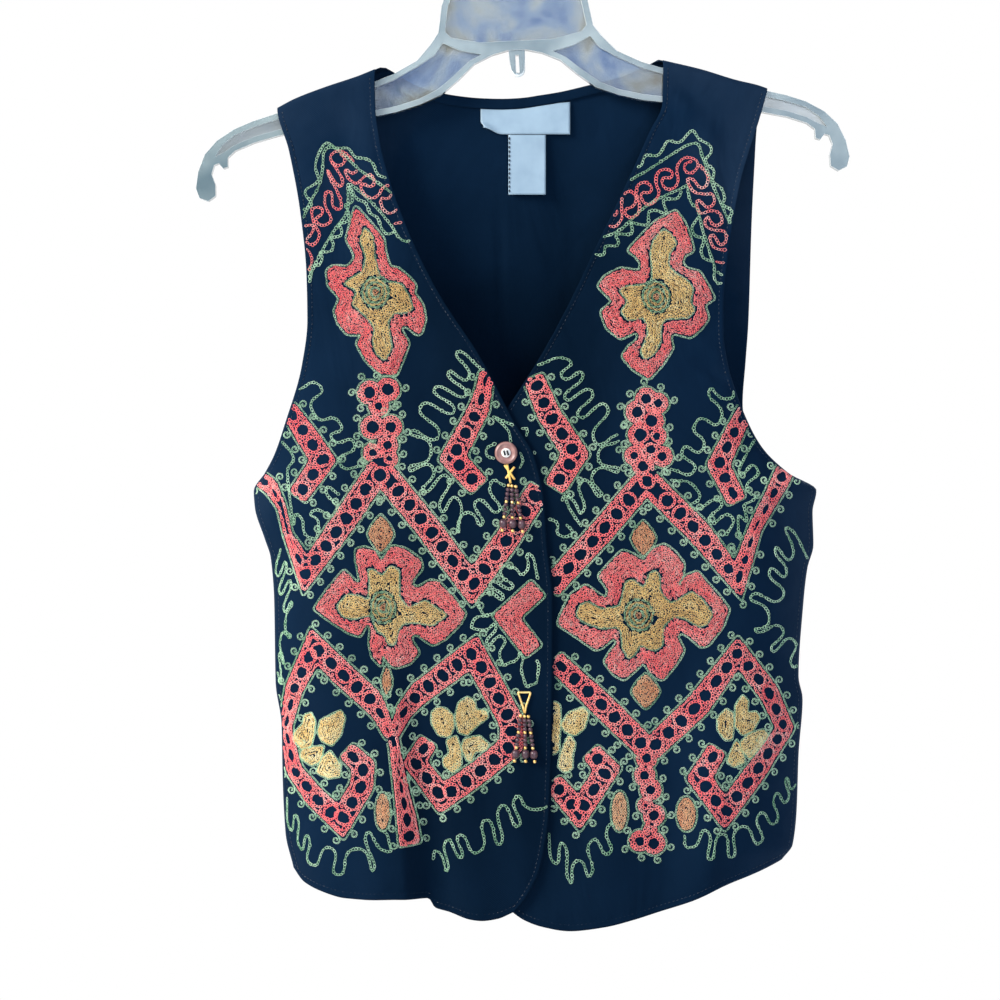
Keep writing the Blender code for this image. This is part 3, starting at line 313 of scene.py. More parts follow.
RIGHT_MIDDLE_HEART = (
    (-93, 469), (-88, 470), (-84, 474), (-78, 467), (-72, 470), (-72, 488), (-66, 495), (-55, 490),
    (-40, 500), (-50, 507), (-62, 505), (-70, 506), (-73, 511), (-75, 520), (-79, 520), (-82, 513),
    (-87, 511), (-91, 500), (-96, 501), (-103, 503), (-110, 501), (-114, 494), (-107, 486), (-99, 487),
    (-93, 490), (-92, 480))
LEFT_MIDDLE_MEDALLION = (
    (76, 457), (82, 459), (90, 464), (96, 456), (104, 453), (111, 458), (117, 466), (116, 474), (113, 481),
    (118, 474), (126, 471), (132, 478), (140, 487), (147, 496), (143, 507), (133, 520), (128, 521),
    (120, 514), (115, 511), (112, 514), (117, 523), (112, 532), (103, 543), (99, 542), (94, 537),
    (90, 531), (84, 537), (77, 543), (70, 539), (64, 531), (68, 524), (73, 518), (70, 515), (62, 522),
    (58, 523), (48, 516), (33, 506), (35, 500), (42, 486), (52, 480), (60, 486), (65, 489), (67, 484),
    (63, 478), (60, 474), (68, 465))
LEFT_MIDDLE_HEART = (
    (78, 478), (83, 476), (90, 482), (94, 472), (98, 470), (101, 474), (101, 484), (105, 489), (108, 492),
    (113, 490), (122, 484), (130, 490), (136, 499), (133, 506), (127, 508), (117, 502), (110, 501),
    (103, 508), (103, 520), (98, 524), (88, 520), (84, 527), (80, 529), (76, 522), (75, 510), (72, 508),
    (62, 509), (50, 505), (45, 500), (48, 493), (54, 491), (62, 496), (74, 494), (76, 487))
RIGHT_PETALS = (
    ((-131, 565), (-128, 571), (-129, 580), (-131, 588), (-138, 590), (-144, 584), (-143, 579), (-137, 573),
     (-136, 567)),
    ((-111, 563), (-108, 568), (-111, 580), (-117, 587), (-124, 584), (-127, 578), (-125, 570), (-117, 566)),
    ((-122, 587), (-125, 598), (-131, 601), (-139, 596), (-138, 590), (-130, 588)),
    ((-118, 590), (-111, 599), (-111, 607), (-120, 609), (-128, 605), (-124, 595)),
    ((-47, 561), (-41, 562), (-36, 567), (-36, 575), (-39, 581), (-46, 580), (-51, 572), (-51, 565)),
    ((-27, 554), (-22, 557), (-21, 563), (-14, 563), (-13, 568), (-20, 573), (-27, 580), (-33, 578),
     (-35, 567), (-33, 558)),
    ((-19, 580), (-12, 586), (-15, 590), (-22, 591), (-24, 598), (-28, 596), (-31, 588), (-29, 582)),
    ((-34, 580), (-31, 590), (-31, 600), (-37, 605), (-43, 600), (-43, 595), (-39, 592), (-41, 583)),
)
LEFT_PETALS = (
    ((50, 561), (54, 565), (51, 575), (45, 580), (38, 578), (35, 573), (40, 565)),
    ((41, 579), (45, 585), (43, 594), (43, 602), (38, 605), (33, 601), (35, 592), (38, 584)),
    ((31, 557), (35, 560), (35, 570), (34, 590), (30, 593), (26, 585), (26, 565)),
    ((156, 553), (160, 557), (159, 565), (165, 564), (168, 568), (163, 577), (156, 580), (151, 574),
     (151, 560)),
    ((145, 562), (150, 565), (150, 573), (149, 583), (144, 583), (139, 576), (139, 568)),
    ((170, 576), (174, 580), (169, 587), (161, 596), (155, 590), (154, 585), (160, 579)),
    ((152, 582), (156, 590), (158, 598), (150, 601), (145, 597), (148, 590)),
)
RIGHT_DISCS = table(
    Place, (-88.5, 285, 9.6, 11), (-83, 495, 8.6, 11.4))
LEFT_DISCS = table(
    Place, (99, 288, 9.6, 11), (87, 500, 10.2, 11.2))
RIGHT_BUDS = table(
    Place, (-84.5, 446, 8.6, 12.4), (-80.5, 544, 3.4, 10.8))
RIGHT_OVALS = (Place(-83, 630, 4.6, 12.4),)
LEFT_BUDS = table(
    Place, (90, 449, 8.2, 11.6), (91.5, 550.5, 9.2, 11.6))
LEFT_OVALS = table(
    Place, (74, 630, 5.2, 13.2), (118.5, 632, 6.2, 11.2))

# Winding green lines, by the tips of their loops
RIGHT_LOOPS = (
    ((-141, 350), (-125, 348), (-130, 365), (-112, 372), (-117, 383), (-102, 386), (-112, 399), (-96, 401)),
    ((-18, 336), (-34, 325), (-26, 342), (-40, 339), (-28, 354), (-49, 349), (-36, 365), (-58, 361),
     (-46, 381), (-65, 378), (-51, 391), (-66, 403), (-50, 402), (-56, 418), (-40, 408), (-45, 430),
     (-33, 423), (-33, 445), (-28, 432), (-17, 440), (-21, 424), (-6, 431), (-12, 414), (-2, 414)),
    ((-112, 420), (-121, 417), (-114, 432), (-130, 431), (-126, 441), (-133, 448), (-139, 434), (-143, 440)),
    ((-148, 623), (-146, 644), (-141, 635), (-139, 656), (-133, 648), (-131, 667), (-118, 655), (-113, 673),
     (-101, 655), (-89, 669), (-94, 645), (-82, 656), (-79, 649), (-84, 642)),
    ((-50, 663), (-46, 658), (-40, 670), (-41, 650), (-31, 661), (-32, 646), (-19, 657), (-15, 636),
     (-5, 652), (-5, 627), (7, 640), (5, 621), (18, 629), (28, 621)),
    ((-152, 456), (-155, 474), (-148, 466), (-153, 486), (-145, 478), (-150, 497), (-144, 492), (-149, 506),
     (-145, 515), (-152, 515), (-150, 533), (-153, 526), (-152, 545), (-155, 541), (-154, 560)),
    ((20, 476), (14, 459), (11, 472), (2, 468), (-5, 471), (3, 482), (-12, 478), (-3, 489), (-16, 486),
     (-18, 497), (-9, 499)),
    ((-13, 500), (-23, 504), (-18, 510), (-8, 507), (-14, 519), (-3, 515), (-5, 529), (3, 531), (9, 526),
     (10, 541), (16, 546), (20, 538), (19, 530)),
)
LEFT_LOOPS = (
    ((19, 334), (40, 330), (36, 342), (50, 340), (38, 356), (56, 351), (47, 368), (66, 361), (57, 383),
     (73, 380)),
    ((74, 384), (60, 395), (74, 404), (57, 405), (62, 421), (49, 411), (50, 431), (41, 422), (36, 424)),
    ((151, 350), (146, 356), (134, 351), (142, 370), (125, 372), (130, 389), (116, 390), (124, 404),
     (108, 403)),
    ((108, 410), (126, 417), (122, 429), (141, 424), (134, 438), (148, 434), (145, 447)),
    ((203, 466), (187, 442), (190, 462), (178, 456), (186, 473), (174, 471), (183, 489), (162, 487),
     (174, 501), (165, 511), (183, 509), (176, 524), (191, 517), (190, 534), (198, 528)),
    ((27, 644), (31, 665), (37, 652), (41, 677), (46, 663), (55, 672), (55, 650), (67, 658), (66, 641),
     (74, 642)),
    ((117, 646), (122, 654), (132, 643), (134, 662), (142, 645), (149, 661), (154, 641), (168, 652),
     (167, 633), (179, 639), (178, 621), (187, 625), (186, 610), (192, 616), (195, 597)),
)
# Other lines as smooth curves through points, green ones and then the coral scrolls of the shoulders
RIGHT_GREEN_LINES = (
    ((-153, 383), (-146, 390), (-143, 397), (-147, 403), (-146, 418), (-143, 440)),
    ((-10, 368), (-3, 371), (4, 374)),
    ((-8, 369), (0, 377), (2, 385)),
    ((-8, 386), (-14, 389), (-14, 394), (-9, 396)),
    ((8, 392), (10, 397), (8, 402)),
    ((-139, 230), (-131, 226), (-136, 217), (-127, 210), (-129, 200), (-126, 190), (-121, 184), (-115, 188),
     (-107, 188), (-102, 194), (-95, 195), (-90, 199), (-87, 206), (-80, 209), (-77, 217)),
    ((-138, 238), (-133, 226), (-126, 212), (-124, 200), (-123, 190), (-118, 187), (-109, 193),
     (-100, 202), (-90, 209), (-82, 215), (-77, 219)),
    ((-134, 278), (-127, 262), (-118, 246), (-108, 232), (-107, 222), (-107, 212)),
    ((-106, 212), (-98, 218), (-88, 228), (-78, 240), (-73, 248), (-67, 251), (-64, 248)),
    ((-133, 279), (-131, 272), (-133, 268), (-126, 266), (-124, 261), (-126, 258), (-118, 257),
     (-117, 251), (-119, 248), (-112, 247), (-111, 243), (-113, 239), (-107, 237), (-107, 230),
     (-109, 226), (-104, 224), (-106, 214)),
    ((-105, 215), (-101, 222), (-95, 225), (-92, 232), (-87, 235), (-84, 243), (-80, 246), (-75, 244)),
)
LEFT_GREEN_LINES = (
    ((38, 422), (42, 431), (49, 441)),
    ((27, 436), (33, 439), (33, 446), (39, 448), (43, 445), (39, 440)),
    ((9, 376), (13, 376), (12, 381)),
    ((15, 389), (18, 392), (17, 395)),
    ((165, 383), (154, 403), (157, 406), (163, 400), (167, 406), (159, 413), (161, 419), (166, 421),
     (161, 425), (157, 427), (159, 438), (153, 434), (154, 450)),
    ((83, 201), (89, 200), (92, 193), (100, 193), (104, 188), (107, 183), (115, 184), (120, 179), (124, 176),
     (128, 182), (135, 186), (136, 191), (132, 197), (138, 203), (137, 210), (143, 215), (145, 222),
     (144, 226), (150, 230), (148, 236), (151, 242)),
    ((76, 217), (80, 211), (95, 202), (110, 192), (120, 186), (127, 185), (130, 193), (136, 210),
     (143, 226), (150, 241)),
    ((58, 254), (62, 249), (75, 243), (90, 229), (103, 221), (112, 217), (120, 213)),
    ((120, 214), (122, 224), (127, 230), (130, 243), (135, 258), (138, 268), (138, 276), (142, 279),
     (145, 275), (140, 271)),
    ((57, 259), (64, 260), (65, 254), (72, 254), (74, 251), (72, 246), (82, 246), (83, 241), (82, 238),
     (91, 240), (94, 238), (94, 231), (99, 230), (106, 232), (104, 223), (113, 222), (116, 217)),
    ((128, 234), (123, 241), (125, 247), (131, 249), (129, 257), (131, 262), (137, 264)),
)
RIGHT_SCROLLS = (
    ((-101, 203), (-104, 205), (-109, 202), (-107, 208), (-101, 212), (-97, 208), (-92, 206), (-89, 211),
     (-92, 214), (-98, 212), (-97, 218), (-91, 222), (-86, 219), (-84, 215), (-80, 213), (-77, 217),
     (-80, 222), (-85, 222), (-84, 228), (-80, 232), (-75, 230), (-73, 226)),
    ((-76, 239), (-70, 238), (-67, 240)),
    ((-103, 197), (-109, 191), (-115, 190), (-119, 194), (-116, 199), (-111, 199), (-109, 195), (-112, 192)),
    ((-118, 197), (-111, 208), (-112, 214), (-117, 209), (-121, 202), (-119, 208), (-112, 222),
     (-112, 229), (-117, 227), (-118, 218), (-122, 218), (-122, 227), (-118, 236), (-124, 240),
     (-129, 236), (-124, 232), (-125, 228), (-131, 229), (-130, 238), (-126, 246), (-130, 253),
     (-135, 250), (-131, 245), (-130, 240), (-135, 240), (-138, 243)),
    ((-136, 253), (-131, 262), (-133, 270)),
)
LEFT_SCROLLS = (
    ((72, 228), (73, 232), (68, 235), (66, 239), (71, 241), (76, 236), (76, 228), (77, 220), (82, 217),
     (86, 221), (84, 227), (79, 229), (78, 232), (82, 235), (87, 232), (88, 226), (86, 219), (87, 213),
     (92, 211), (96, 214), (95, 218), (90, 218), (89, 222), (93, 226), (98, 224), (101, 218), (99, 211),
     (100, 205), (105, 202), (110, 204), (109, 208), (104, 208), (103, 212), (107, 216), (112, 214),
     (114, 209), (113, 203), (115, 197), (120, 194), (126, 196), (127, 201), (122, 205), (118, 202),
     (119, 198), (123, 197)),
    ((128, 199), (134, 207), (132, 214), (128, 214), (124, 209), (120, 209), (124, 217), (131, 219),
     (137, 219), (138, 225), (133, 228), (128, 223), (126, 226), (129, 232), (136, 230), (142, 232),
     (143, 238), (138, 240), (133, 234), (132, 240), (138, 243), (145, 244), (146, 250), (142, 253),
     (138, 247), (135, 247), (137, 254), (143, 256), (148, 256)),
    ((139, 264), (143, 265), (147, 264)),
)

# How the rows are laid: their spacing, the coils beside green edges, the holes in bands, the topstitching
ROW_SPACING = 1.62
DEEPEST_ROW = 40.0
ROW_CLEAR_SHARE = 0.97
ROW_SLACK = 0.12
FIRST_ROW = 1.1
FILLER_SPACING = 0.9
FILLER_EDGE = 0.8
FILLER_GAP = 1.25
FILLER_APART = 1.7
FILLER_HALF = (0.35, 0.85)
MITRE_LIMIT = 0.45
CLEAR_SLACK = 0.3
BUD_BOW = 1.35
BUD_FULLNESS = 0.9
COIL_HALF_TURNS = 2.9
COIL_START = 0.08
COIL_GROWTH = 1.35
COIL_CLEAR = 5.6
PICOT_RADIUS = 2.4
PICOT_SPACING = 11.0
STEM_PICOT_SPACING = 9.5
PICOT_OUT = 2.9
HOLE_SPACING = 11.8
RING_RADIUS = 5.0
RING_INSET = 2.5
RING_APART = 5.0
RING_CROSSING = -3.5
RING_VARIES = 0.11
RING_PACE = 7.3
RING_EVEN = 2.02
RING_CLEAR = 1.9
HOLE_RIM = 1.1
HOLE_CLEAR = 1.2
MIDDLE_CLEAR = 1.3
HEART_CLEAR = 1.5
DISC_CLEAR = 0.7
# How far outside its filling the green outline of each kind of patch lies
MEDALLION_EDGE = 0.9
BUD_EDGE = 0.8
PETAL_EDGE = 0.2
TOPSTITCH_INSET = 3.2
HEM_ROW_APART = 0.6
TOPSTITCH_LEVELS = (100.0, 720.0, 900)
TOPSTITCH_ACROSS = (-215.0, 235.0, 900)
EDGE_MARGIN = 1.6
TOP_MARGIN = 4.0
LAP_CLEARANCE = 1.2
BAND_ROWS = ((-1.1, "coral"), (-3.1, "coral"), (1.0, "green"))
STEM_ROWS = ((1.1, "coral"), (3.1, "coral"), (5.0, "green"))
DISC_ROWS = ((0.92, "green"), (0.77, "gold"), (0.62, "green"), (0.47, "gold"), (0.31, "green"),
             (0.15, "peach"))
LOOP_PULL = 1.55
LINE_PULL = 0.5

# Threads by colour: the material's name, the slot and the shades from the dark to the light of a stitch
THREADS = {
    "coral": ("coral_rayon_thread", "coral_thread",
              [(0.12, "#c23340"), (0.4, "#ff6268"), (0.68, "#ff8f8b"), (0.95, "#ffd2c8")]),
    "green": ("green_cotton_thread", "green_thread",
              [(0.12, "#2f5c40"), (0.45, "#6ba378"), (0.9, "#cdeecb")]),
    "gold": ("old_gold_thread", "gold_thread",
             [(0.12, "#9f7436"), (0.45, "#dbb066"), (0.72, "#f6d68e"), (0.95, "#fff4c4")]),
    "peach": ("peach_brown_thread", "coral_thread", [(0.12, "#9a5630"), (0.5, "#dd9260"), (0.9, "#fbd0a2")]),
    "navy": ("navy_sewing_thread", "cloth", [(0.12, "#071422"), (0.5, "#0f2136"), (0.9, "#1a3047")]),
}
TIE_SHADES = [(0.0, "#c9923a"), (0.2, "#e6b95c"), (0.45, "#fbdf94")]

# Trims on the inside of the back and the things sewn on in front, where the solids have them
LABEL = Trim(-18.4, 42.0, 159.6, 176.8)
LABEL_TOP_RISE = 4.4
LABEL_CURL = 4.2
LABEL_CURL_ASIDE = 2.0
LABEL_CURL_LIFT = 2.4
LABEL_LIFT = 0.2
LABEL_CORNER = 0.24
CARE_TAG = Trim(0.4, 25.6, 177.2, 217.3)
TAG_LIFT = 1.3
TAG_BOW = 0.35
TAG_STITCH_INSET = 0.7
BAND_WIDTH = 6.7
BAND_ENDS = (-60.0, 70.0)
BAND_SWELL = 0.25
EDGE_INSET = 0.4
TRIM_CLOTH = 1.0
BUTTON_PLACE = (-1.3, 392.2)
BUTTON_DISC = 3.1
BUTTON_THREAD = 0.65
THREAD_APART = 1.1
UPPER_TASSEL = table(Strand, (0.6, 412.6, -4.6, 32.4), (2.6, 413, 0.6, 33.6), (5, 413.4, 5.2, 33.6))
LOWER_TASSEL = table(Strand, (8.6, 565.6, -4.4, 32.6), (11, 565.8, 0.8, 32.2), (13.4, 566, 4.6, 33))
# Beads down a strand, and the radius and half height of each
STRAND_BEADS = (("gold", 1.2), ("bead", 4.0), ("bead", 6.9), ("bead", 9.8), ("gold", 12.0), ("bead", 14.2),
                ("bead", 17.1), ("bead", 20.0), ("gold", 22.2), ("barrel", 26.4), ("gold", 31.0))
BEAD_SIZES = {"gold": (1.15, 1.15), "bead": (1.5, 1.35), "barrel": (2.7, 3.0)}
BEAD_ROUNDNESS = 0.75
BEAD_SIDES = 10
BEAD_RINGS = 7
# Points of a pole that are merged, in metres, and the shares of step and radius at a bar's tip
POLE_MERGE = 0.000005
TIP_STEP = 0.02
TIP_RADIUS = 0.05
# Ends of the three wraps of thread between button and tassel
TIE_WRAPS = (((-2.2, 400.4), (4.4, 409.8)), ((4.2, 401.6), (-1.4, 409.0)), ((-0.6, 399.8), (1.8, 412.4)))
TIE_THREAD = 0.75
TIE_LIFT = 1.1
BAIL_CORNERS = ((6.6, 551.2), (15.2, 551.2), (11.9, 560.6), (11.2, 565.4), (9.9, 560.6))
BAIL_WIRE = 0.75
HANGER_PEG = Peg(6.7, 134.5, 9.0, 3.4, 1.5)
HANGER_WEB = 2.0
MOULD_ROUNDING = 0.9

# Studio, in metres: the camera, the floor and the lamps
CAMERA_AWAY = 2.6
VIEW_WIDTH = 0.667
VIEW_MIDDLE = (-0.0053, -0.02, -0.4235)
SENSOR = 36.0
FLOOR_HALF = 1.9
FLOOR_LEVEL = -1.05
LAMPS = table(
    Lamp, ("key", (-2.1, -1.25, 0.95), (0.0, 0.0, -0.45), 1.1, 126.0, "#fffaf2"),
    ("fill", (0.6, -2.5, 0.05), (0.0, 0.0, -0.4), 1.6, 32.0, "#e6efff"),
    ("rear", (0.4, 2.2, 0.9), (0.0, 0.0, -0.4), 1.4, 12.0, "#ffffff"))


def column(rows, name):
    """One named column of a table as an array."""
    return np.array([getattr(row, name) for row in rows], dtype=float)


def smooth(at, places, values):
    """A curve through the values without overshoot: cubic pieces whose slopes are limited."""
    at = np.clip(at, places[0], places[-1])
    step = np.diff(places)
    slope = np.diff(values) / step
    tangent = np.zeros(len(places))
    tangent[0] = slope[0]
    tangent[-1] = slope[-1]
    same_way = slope[:-1] * slope[1:] > 0
    mean = 2 * slope[:-1] * slope[1:] / np.where(same_way, slope[:-1] + slope[1:], 1.0)
    tangent[1:-1] = np.where(same_way, mean, 0.0)
    piece = np.clip(np.searchsorted(places, at, side="right") - 1, 0, len(step) - 1)
    t = (at - places[piece]) / step[piece]
    start = (1 + 2 * t) * (1 - t) ** 2 * values[piece]
    finish = t * t * (3 - 2 * t) * values[piece + 1]
    lean_in = t * (1 - t) ** 2 * step[piece] * tangent[piece]
    lean_out = t * t * (t - 1) * step[piece] * tangent[piece + 1]
    return start + finish + lean_in + lean_out


def along(rows, level, name):
    """Reads one column of a table of edges, depths or folds at the given levels."""
    return smooth(level, column(rows, "level"), column(rows, name))


def line_level(rows, x):
    """Level of a shoulder, neck or hem line at the given x."""
    return smooth(x, column(rows, "x"), column(rows, "level"))


def ease(t):
    """Goes from 0 to 1 with flat ends."""
    t = np.clip(t, 0.0, 1.0)
    return t * t * (3 - 2 * t)


def wrap_share(drop):
    """Share of the full depth reached at a drop below the shoulder ridge, on a squarish round."""
    rest = np.clip(1 - drop / SHOULDER_WRAP, 0.0, 1.0)
    return np.clip(1 - rest ** WRAP_SQUARENESS, 0.0, 1.0) ** (1 / WRAP_SQUARENESS)


def wrap_drops():
    """Drops below the ridge of the rows that go round the hanger's arm."""
    angles = np.radians(np.array(WRAP_ANGLES, dtype=float))
    return SHOULDER_WRAP * (1 - np.clip(np.cos(angles), 0, 1) ** (2 / WRAP_SQUARENESS))


def rounding(distance, width):
    """Rises from 0 at an edge to 1 at the given distance, like the side of a flattened tube."""
    rest = 1 - np.clip(distance / width, 0.0, 1.0)
    return (1 - rest * rest) ** ROUNDING_POWER


def hem_waves(panel, x, level):
    """Sum of soft ridges and troughs, tallest at the hem and gone at the end of their reach."""
    above_hem = line_level(panel.hem, x) - level
    total = np.zeros_like(x)
    for wave in panel.waves:
        across = np.exp(-((x - wave.x) / wave.width) ** 2)
        total += wave.height * across * ease(1 - above_hem / wave.reach)
    return total


def deep_fold(x, level):
    """Roll and drop of the deep fold: forwards up to the crest, then back behind it at the foot."""
    crest = along(DEEP_FOLD, level, "crest")
    foot = along(DEEP_FOLD, level, "foot")
    height = along(DEEP_FOLD, level, "height")
    rise = ease(1 - (crest - x) / FOLD_RISE_WIDTH) * FOLD_RISE_SHARE
    flank = ease((x - crest) / (foot - crest))
    recess = (1 - FOLD_RISE_SHARE) * (1 - ease((x - foot) / FOLD_RETURN_WIDTH))
    return height * np.where(x < crest, rise, FOLD_RISE_SHARE * (1 - flank) - flank * recess)


def panel_depth(panel, x, level):
    """Depth of a panel: its body's, drawn in to each edge's own, round the arm on top, with waves."""
    middle = along(panel.body, level, "depth")
    from_left = rounding(x - along(panel.left, level, "x"), panel.left_rounding)
    from_right = rounding(along(panel.right, level, "x") - x, panel.right_rounding)
    depth = middle + (along(panel.left, level, "depth") - middle) * (1 - from_left)
    depth += (along(panel.right, level, "depth") - middle) * (1 - from_right)
    depth *= wrap_share(level - line_level(panel.ridge, x))
    return depth + from_left * from_right * hem_waves(panel, x, level)


def creased(creases, x, level):
    """Sum of soft troughs and ridges: a bell across each crease's line, fading to both its ends."""
    total = np.zeros_like(x)
    for crease in creases:
        run = np.hypot(crease.end_x - crease.x, crease.end_level - crease.level)
        ahead = ((crease.end_x - crease.x) / run, (crease.end_level - crease.level) / run)
        share = ((x - crease.x) * ahead[0] + (level - crease.level) * ahead[1]) / run
        aside = (x - crease.x) * ahead[1] - (level - crease.level) * ahead[0]
        fade = np.exp(-(2.0 * (share - 0.5)) ** 4)
        total += CREASE_DEPTH * crease.height * fade * np.exp(-(aside / crease.width) ** 2)
    return total


def from_edges(panel, x, level):
    """Distance to the nearest side edge or to the hem."""
    aside = np.minimum(x - along(panel.left, level, "x"), along(panel.right, level, "x") - x)
    return np.minimum(aside, line_level(panel.hem, x) - level)


def turned_hem(panel, x, level):
    """Swell of the cloth turned under at the edges, a groove at its stitching and fine puckers."""
    gap = from_edges(panel, x, level)
    swell = HEM_SWELL * ease((HEM_WIDTH + HEM_STEP / 2 - gap) / HEM_STEP)
    groove = GROOVE_DEPTH * np.exp(-((gap - HEM_WIDTH) / GROOVE_WIDTH) ** 2)
    along_edge = x * PUCKER_SLANT + level
    pucker = sum(height * np.sin(along_edge * pace + start) for pace, start, height in PUCKER_WAVES)
    return swell - groove + PUCKER_HEIGHT * pucker * np.exp(-((gap - HEM_WIDTH) / PUCKER_REACH) ** 2)


def right_front_plain(x, level):
    """Depth of the front that laps over, with its deep fold."""
    return panel_depth(RIGHT_FRONT, x, level) + deep_fold(x, level)


def right_front_depth(x, level):
    """Depth of the lapping front with its creases and sewn edges."""
    fine = creased(RIGHT_FRONT_CREASES, x, level) + turned_hem(RIGHT_FRONT, x, level)
    return right_front_plain(x, level) + fine * fine_share(RIGHT_FRONT, x, level)


def left_front_depth(x, level):
    """Depth of the front under the lap, set back there by the cloth and a small gap."""
    depth = panel_depth(LEFT_FRONT, x, level)
    over_edge = along(RIGHT_FRONT.right, level, "x")
    under = right_front_plain(np.minimum(x, over_edge), level) - CLOTH - LAP_GAP
    beside_lap = ease((x - over_edge - LAP_MARGIN) / LAP_FADE)
    below_crossing = ease((level - LAP_START) / LAP_FADE)
    depth = depth + (1 - beside_lap) * below_crossing * (under - depth)
    fine = creased(LEFT_FRONT_CREASES, x, level) + turned_hem(LEFT_FRONT, x, level)
    shown = 1 - (1 - ease((x - over_edge) / FINE_FADE_AT_LAP)) * below_crossing
    return depth + fine * fine_share(LEFT_FRONT, x, level) * shown


def back_depth(x, level):
    """Depth of the back behind the hanger's plane, with its creases and sewn edges."""
    fine = creased(BACK_CREASES, x, level) + turned_hem(BACK, x, level)
    return panel_depth(BACK, x, level) + fine * fine_share(BACK, x, level)


def fine_share(panel, x, level):
    """Lets the fine form fade out towards the shoulder seam and the side seam."""
    below_ridge = level - line_level(panel.ridge, x)
    return ease((below_ridge - SHOULDER_WRAP) / FINE_FADE)


def panel_grid(panel, across, down):
    """x and level of a panel's grid, from its top line to its hem and from edge to edge.

    A column is a fixed share of the way across. Its ends are where that share meets the top line
    and the hem, found by going back and forth. The first rows go round the hanger's arm.
    """
    def x_at(level):
        left_x = along(panel.left, level, "x")
        return left_x + across * (along(panel.right, level, "x") - left_x)

    def meet(line):
        level = np.full_like(across, column(line, "level").mean())
        for _ in range(MEETING_ROUNDS):
            level = (level + line_level(line, x_at(level))) / 2
        return level

    top = meet(panel.top)
    bottom = meet(panel.hem)
    below = top + SHOULDER_WRAP
    lower = below[None, :] + down[1:, None] * (bottom - below)[None, :]
    level = np.vstack([top[None, :] + wrap_drops()[:, None], lower])
    return x_at(level), level


def spread(count, crowds):
    """Shares from 0 to 1, closer together round each crowd's place."""
    even = np.linspace(0.0, 1.0, 400)
    density = np.ones_like(even)
    for crowd in crowds:
        density += crowd.extra * np.exp(-((even - crowd.place) / crowd.width) ** 2)
    total = np.concatenate([[0.0], np.cumsum((density[1:] + density[:-1]) / 2)])
    return np.interp(np.linspace(0.0, total[-1], count), total, even)


def normals(points):
    """Unit normals of a grid of points, from its rows and columns."""
    down = np.gradient(points, axis=0)
    sideways = np.gradient(points, axis=1)
    normal = np.cross(sideways, down)
    return normal / np.linalg.norm(normal, axis=2, keepdims=True)


def piece_from(name, points, faces, material):
    """A piece of the vest from points in millimetres and four-sided faces, as whole arrays."""
    mesh = bpy.data.meshes.new(name)
    points = np.ascontiguousarray(points, dtype=np.float32) * MM
    faces = np.ascontiguousarray(faces, dtype=np.int32)
    mesh.vertices.add(len(points))
    mesh.vertices.foreach_set("co", points.ravel())
    mesh.loops.add(faces.size)
    mesh.loops.foreach_set("vertex_index", faces.ravel())
    mesh.polygons.add(len(faces))
    mesh.polygons.foreach_set("loop_start", np.arange(0, faces.size, faces.shape[1], dtype=np.int32))
    mesh.update(calc_edges=True)
    mesh.validate()
    mesh.shade_smooth()
    mesh.materials.append(material)
    made = bpy.data.objects.new(name, mesh)
    bpy.context.scene.collection.objects.link(made)
    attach(made, "root")
    return made


def wall_faces(rows, columns):
    """Faces of a closed wall between two grids of the same size, and the strip round its edge."""
    count = rows * columns
    index = np.arange(count).reshape(rows, columns)
    near = np.stack([index[:-1, :-1], index[1:, :-1], index[1:, 1:], index[:-1, 1:]], axis=-1)
    far = near[..., ::-1] + count
    loop = np.concatenate([index[0, :-1], index[:-1, -1], index[-1, :0:-1], index[:0:-1, 0]])
    following = np.roll(loop, -1)
    rim = np.stack([loop, following, following + count, loop + count], axis=-1)
    return np.concatenate([near.reshape(-1, 4), far.reshape(-1, 4), rim])


def wall_piece(name, outer, inner, material):
    """A thin shell between an outer and an inner grid of points."""
    rows, columns = outer.shape[:2]
    points = np.concatenate([outer.reshape(-1, 3), inner.reshape(-1, 3)])
    made = piece_from(name, points, wall_faces(rows, columns), material)
    face_out(made)
    return made


def face_out(made, merge=0.0):
    """Turns every face of a closed piece outwards, once points nearer than a distance are one."""
    work = bmesh.new()
    work.from_mesh(made.data)
    if merge:
        bmesh.ops.remove_doubles(work, verts=work.verts, dist=merge)
    bmesh.ops.recalc_face_normals(work, faces=work.faces)
    work.to_mesh(made.data)
    work.free()


def panel_piece(name, panel, depth_at, side, across, down, material):
    """One cloth panel: its outer face looks to -Y for side -1 and to +Y for side 1.

    The inner face lies a fabric's thickness inside it and never crosses the seam plane. The outer
    face stands at the solid's own outer face, less the swell of the hem.
    """
    x, level = panel_grid(panel, across, down)
    depth = np.maximum(depth_at(x, level), SEAM_GAP / 2)
    outer = np.stack([x, side * depth, -level], axis=-1)
    normal = normals(outer)
    normal *= np.sign(side * normal[..., 1].mean())
    inner = outer - FABRIC * normal
    inner[..., 1] = side * np.maximum(side * inner[..., 1], SEAM_GAP / 2)
    return wall_piece(name, outer, inner, material)


def run_along(points):
    """Distance along a broken line from its first point to each of its points."""
    return np.concatenate([[0.0], np.cumsum(np.linalg.norm(np.diff(points, axis=0), axis=1))])


def dense(points, step=0.7):
    """The points of a broken line, read again at an even step along it."""
    points = np.asarray(points, dtype=float)
    run = run_along(points[:, :2])
    at = np.linspace(0.0, run[-1], max(3, int(run[-1] / step)))
    return np.stack([np.interp(at, run, points[:, axis]) for axis in range(points.shape[1])], axis=1)


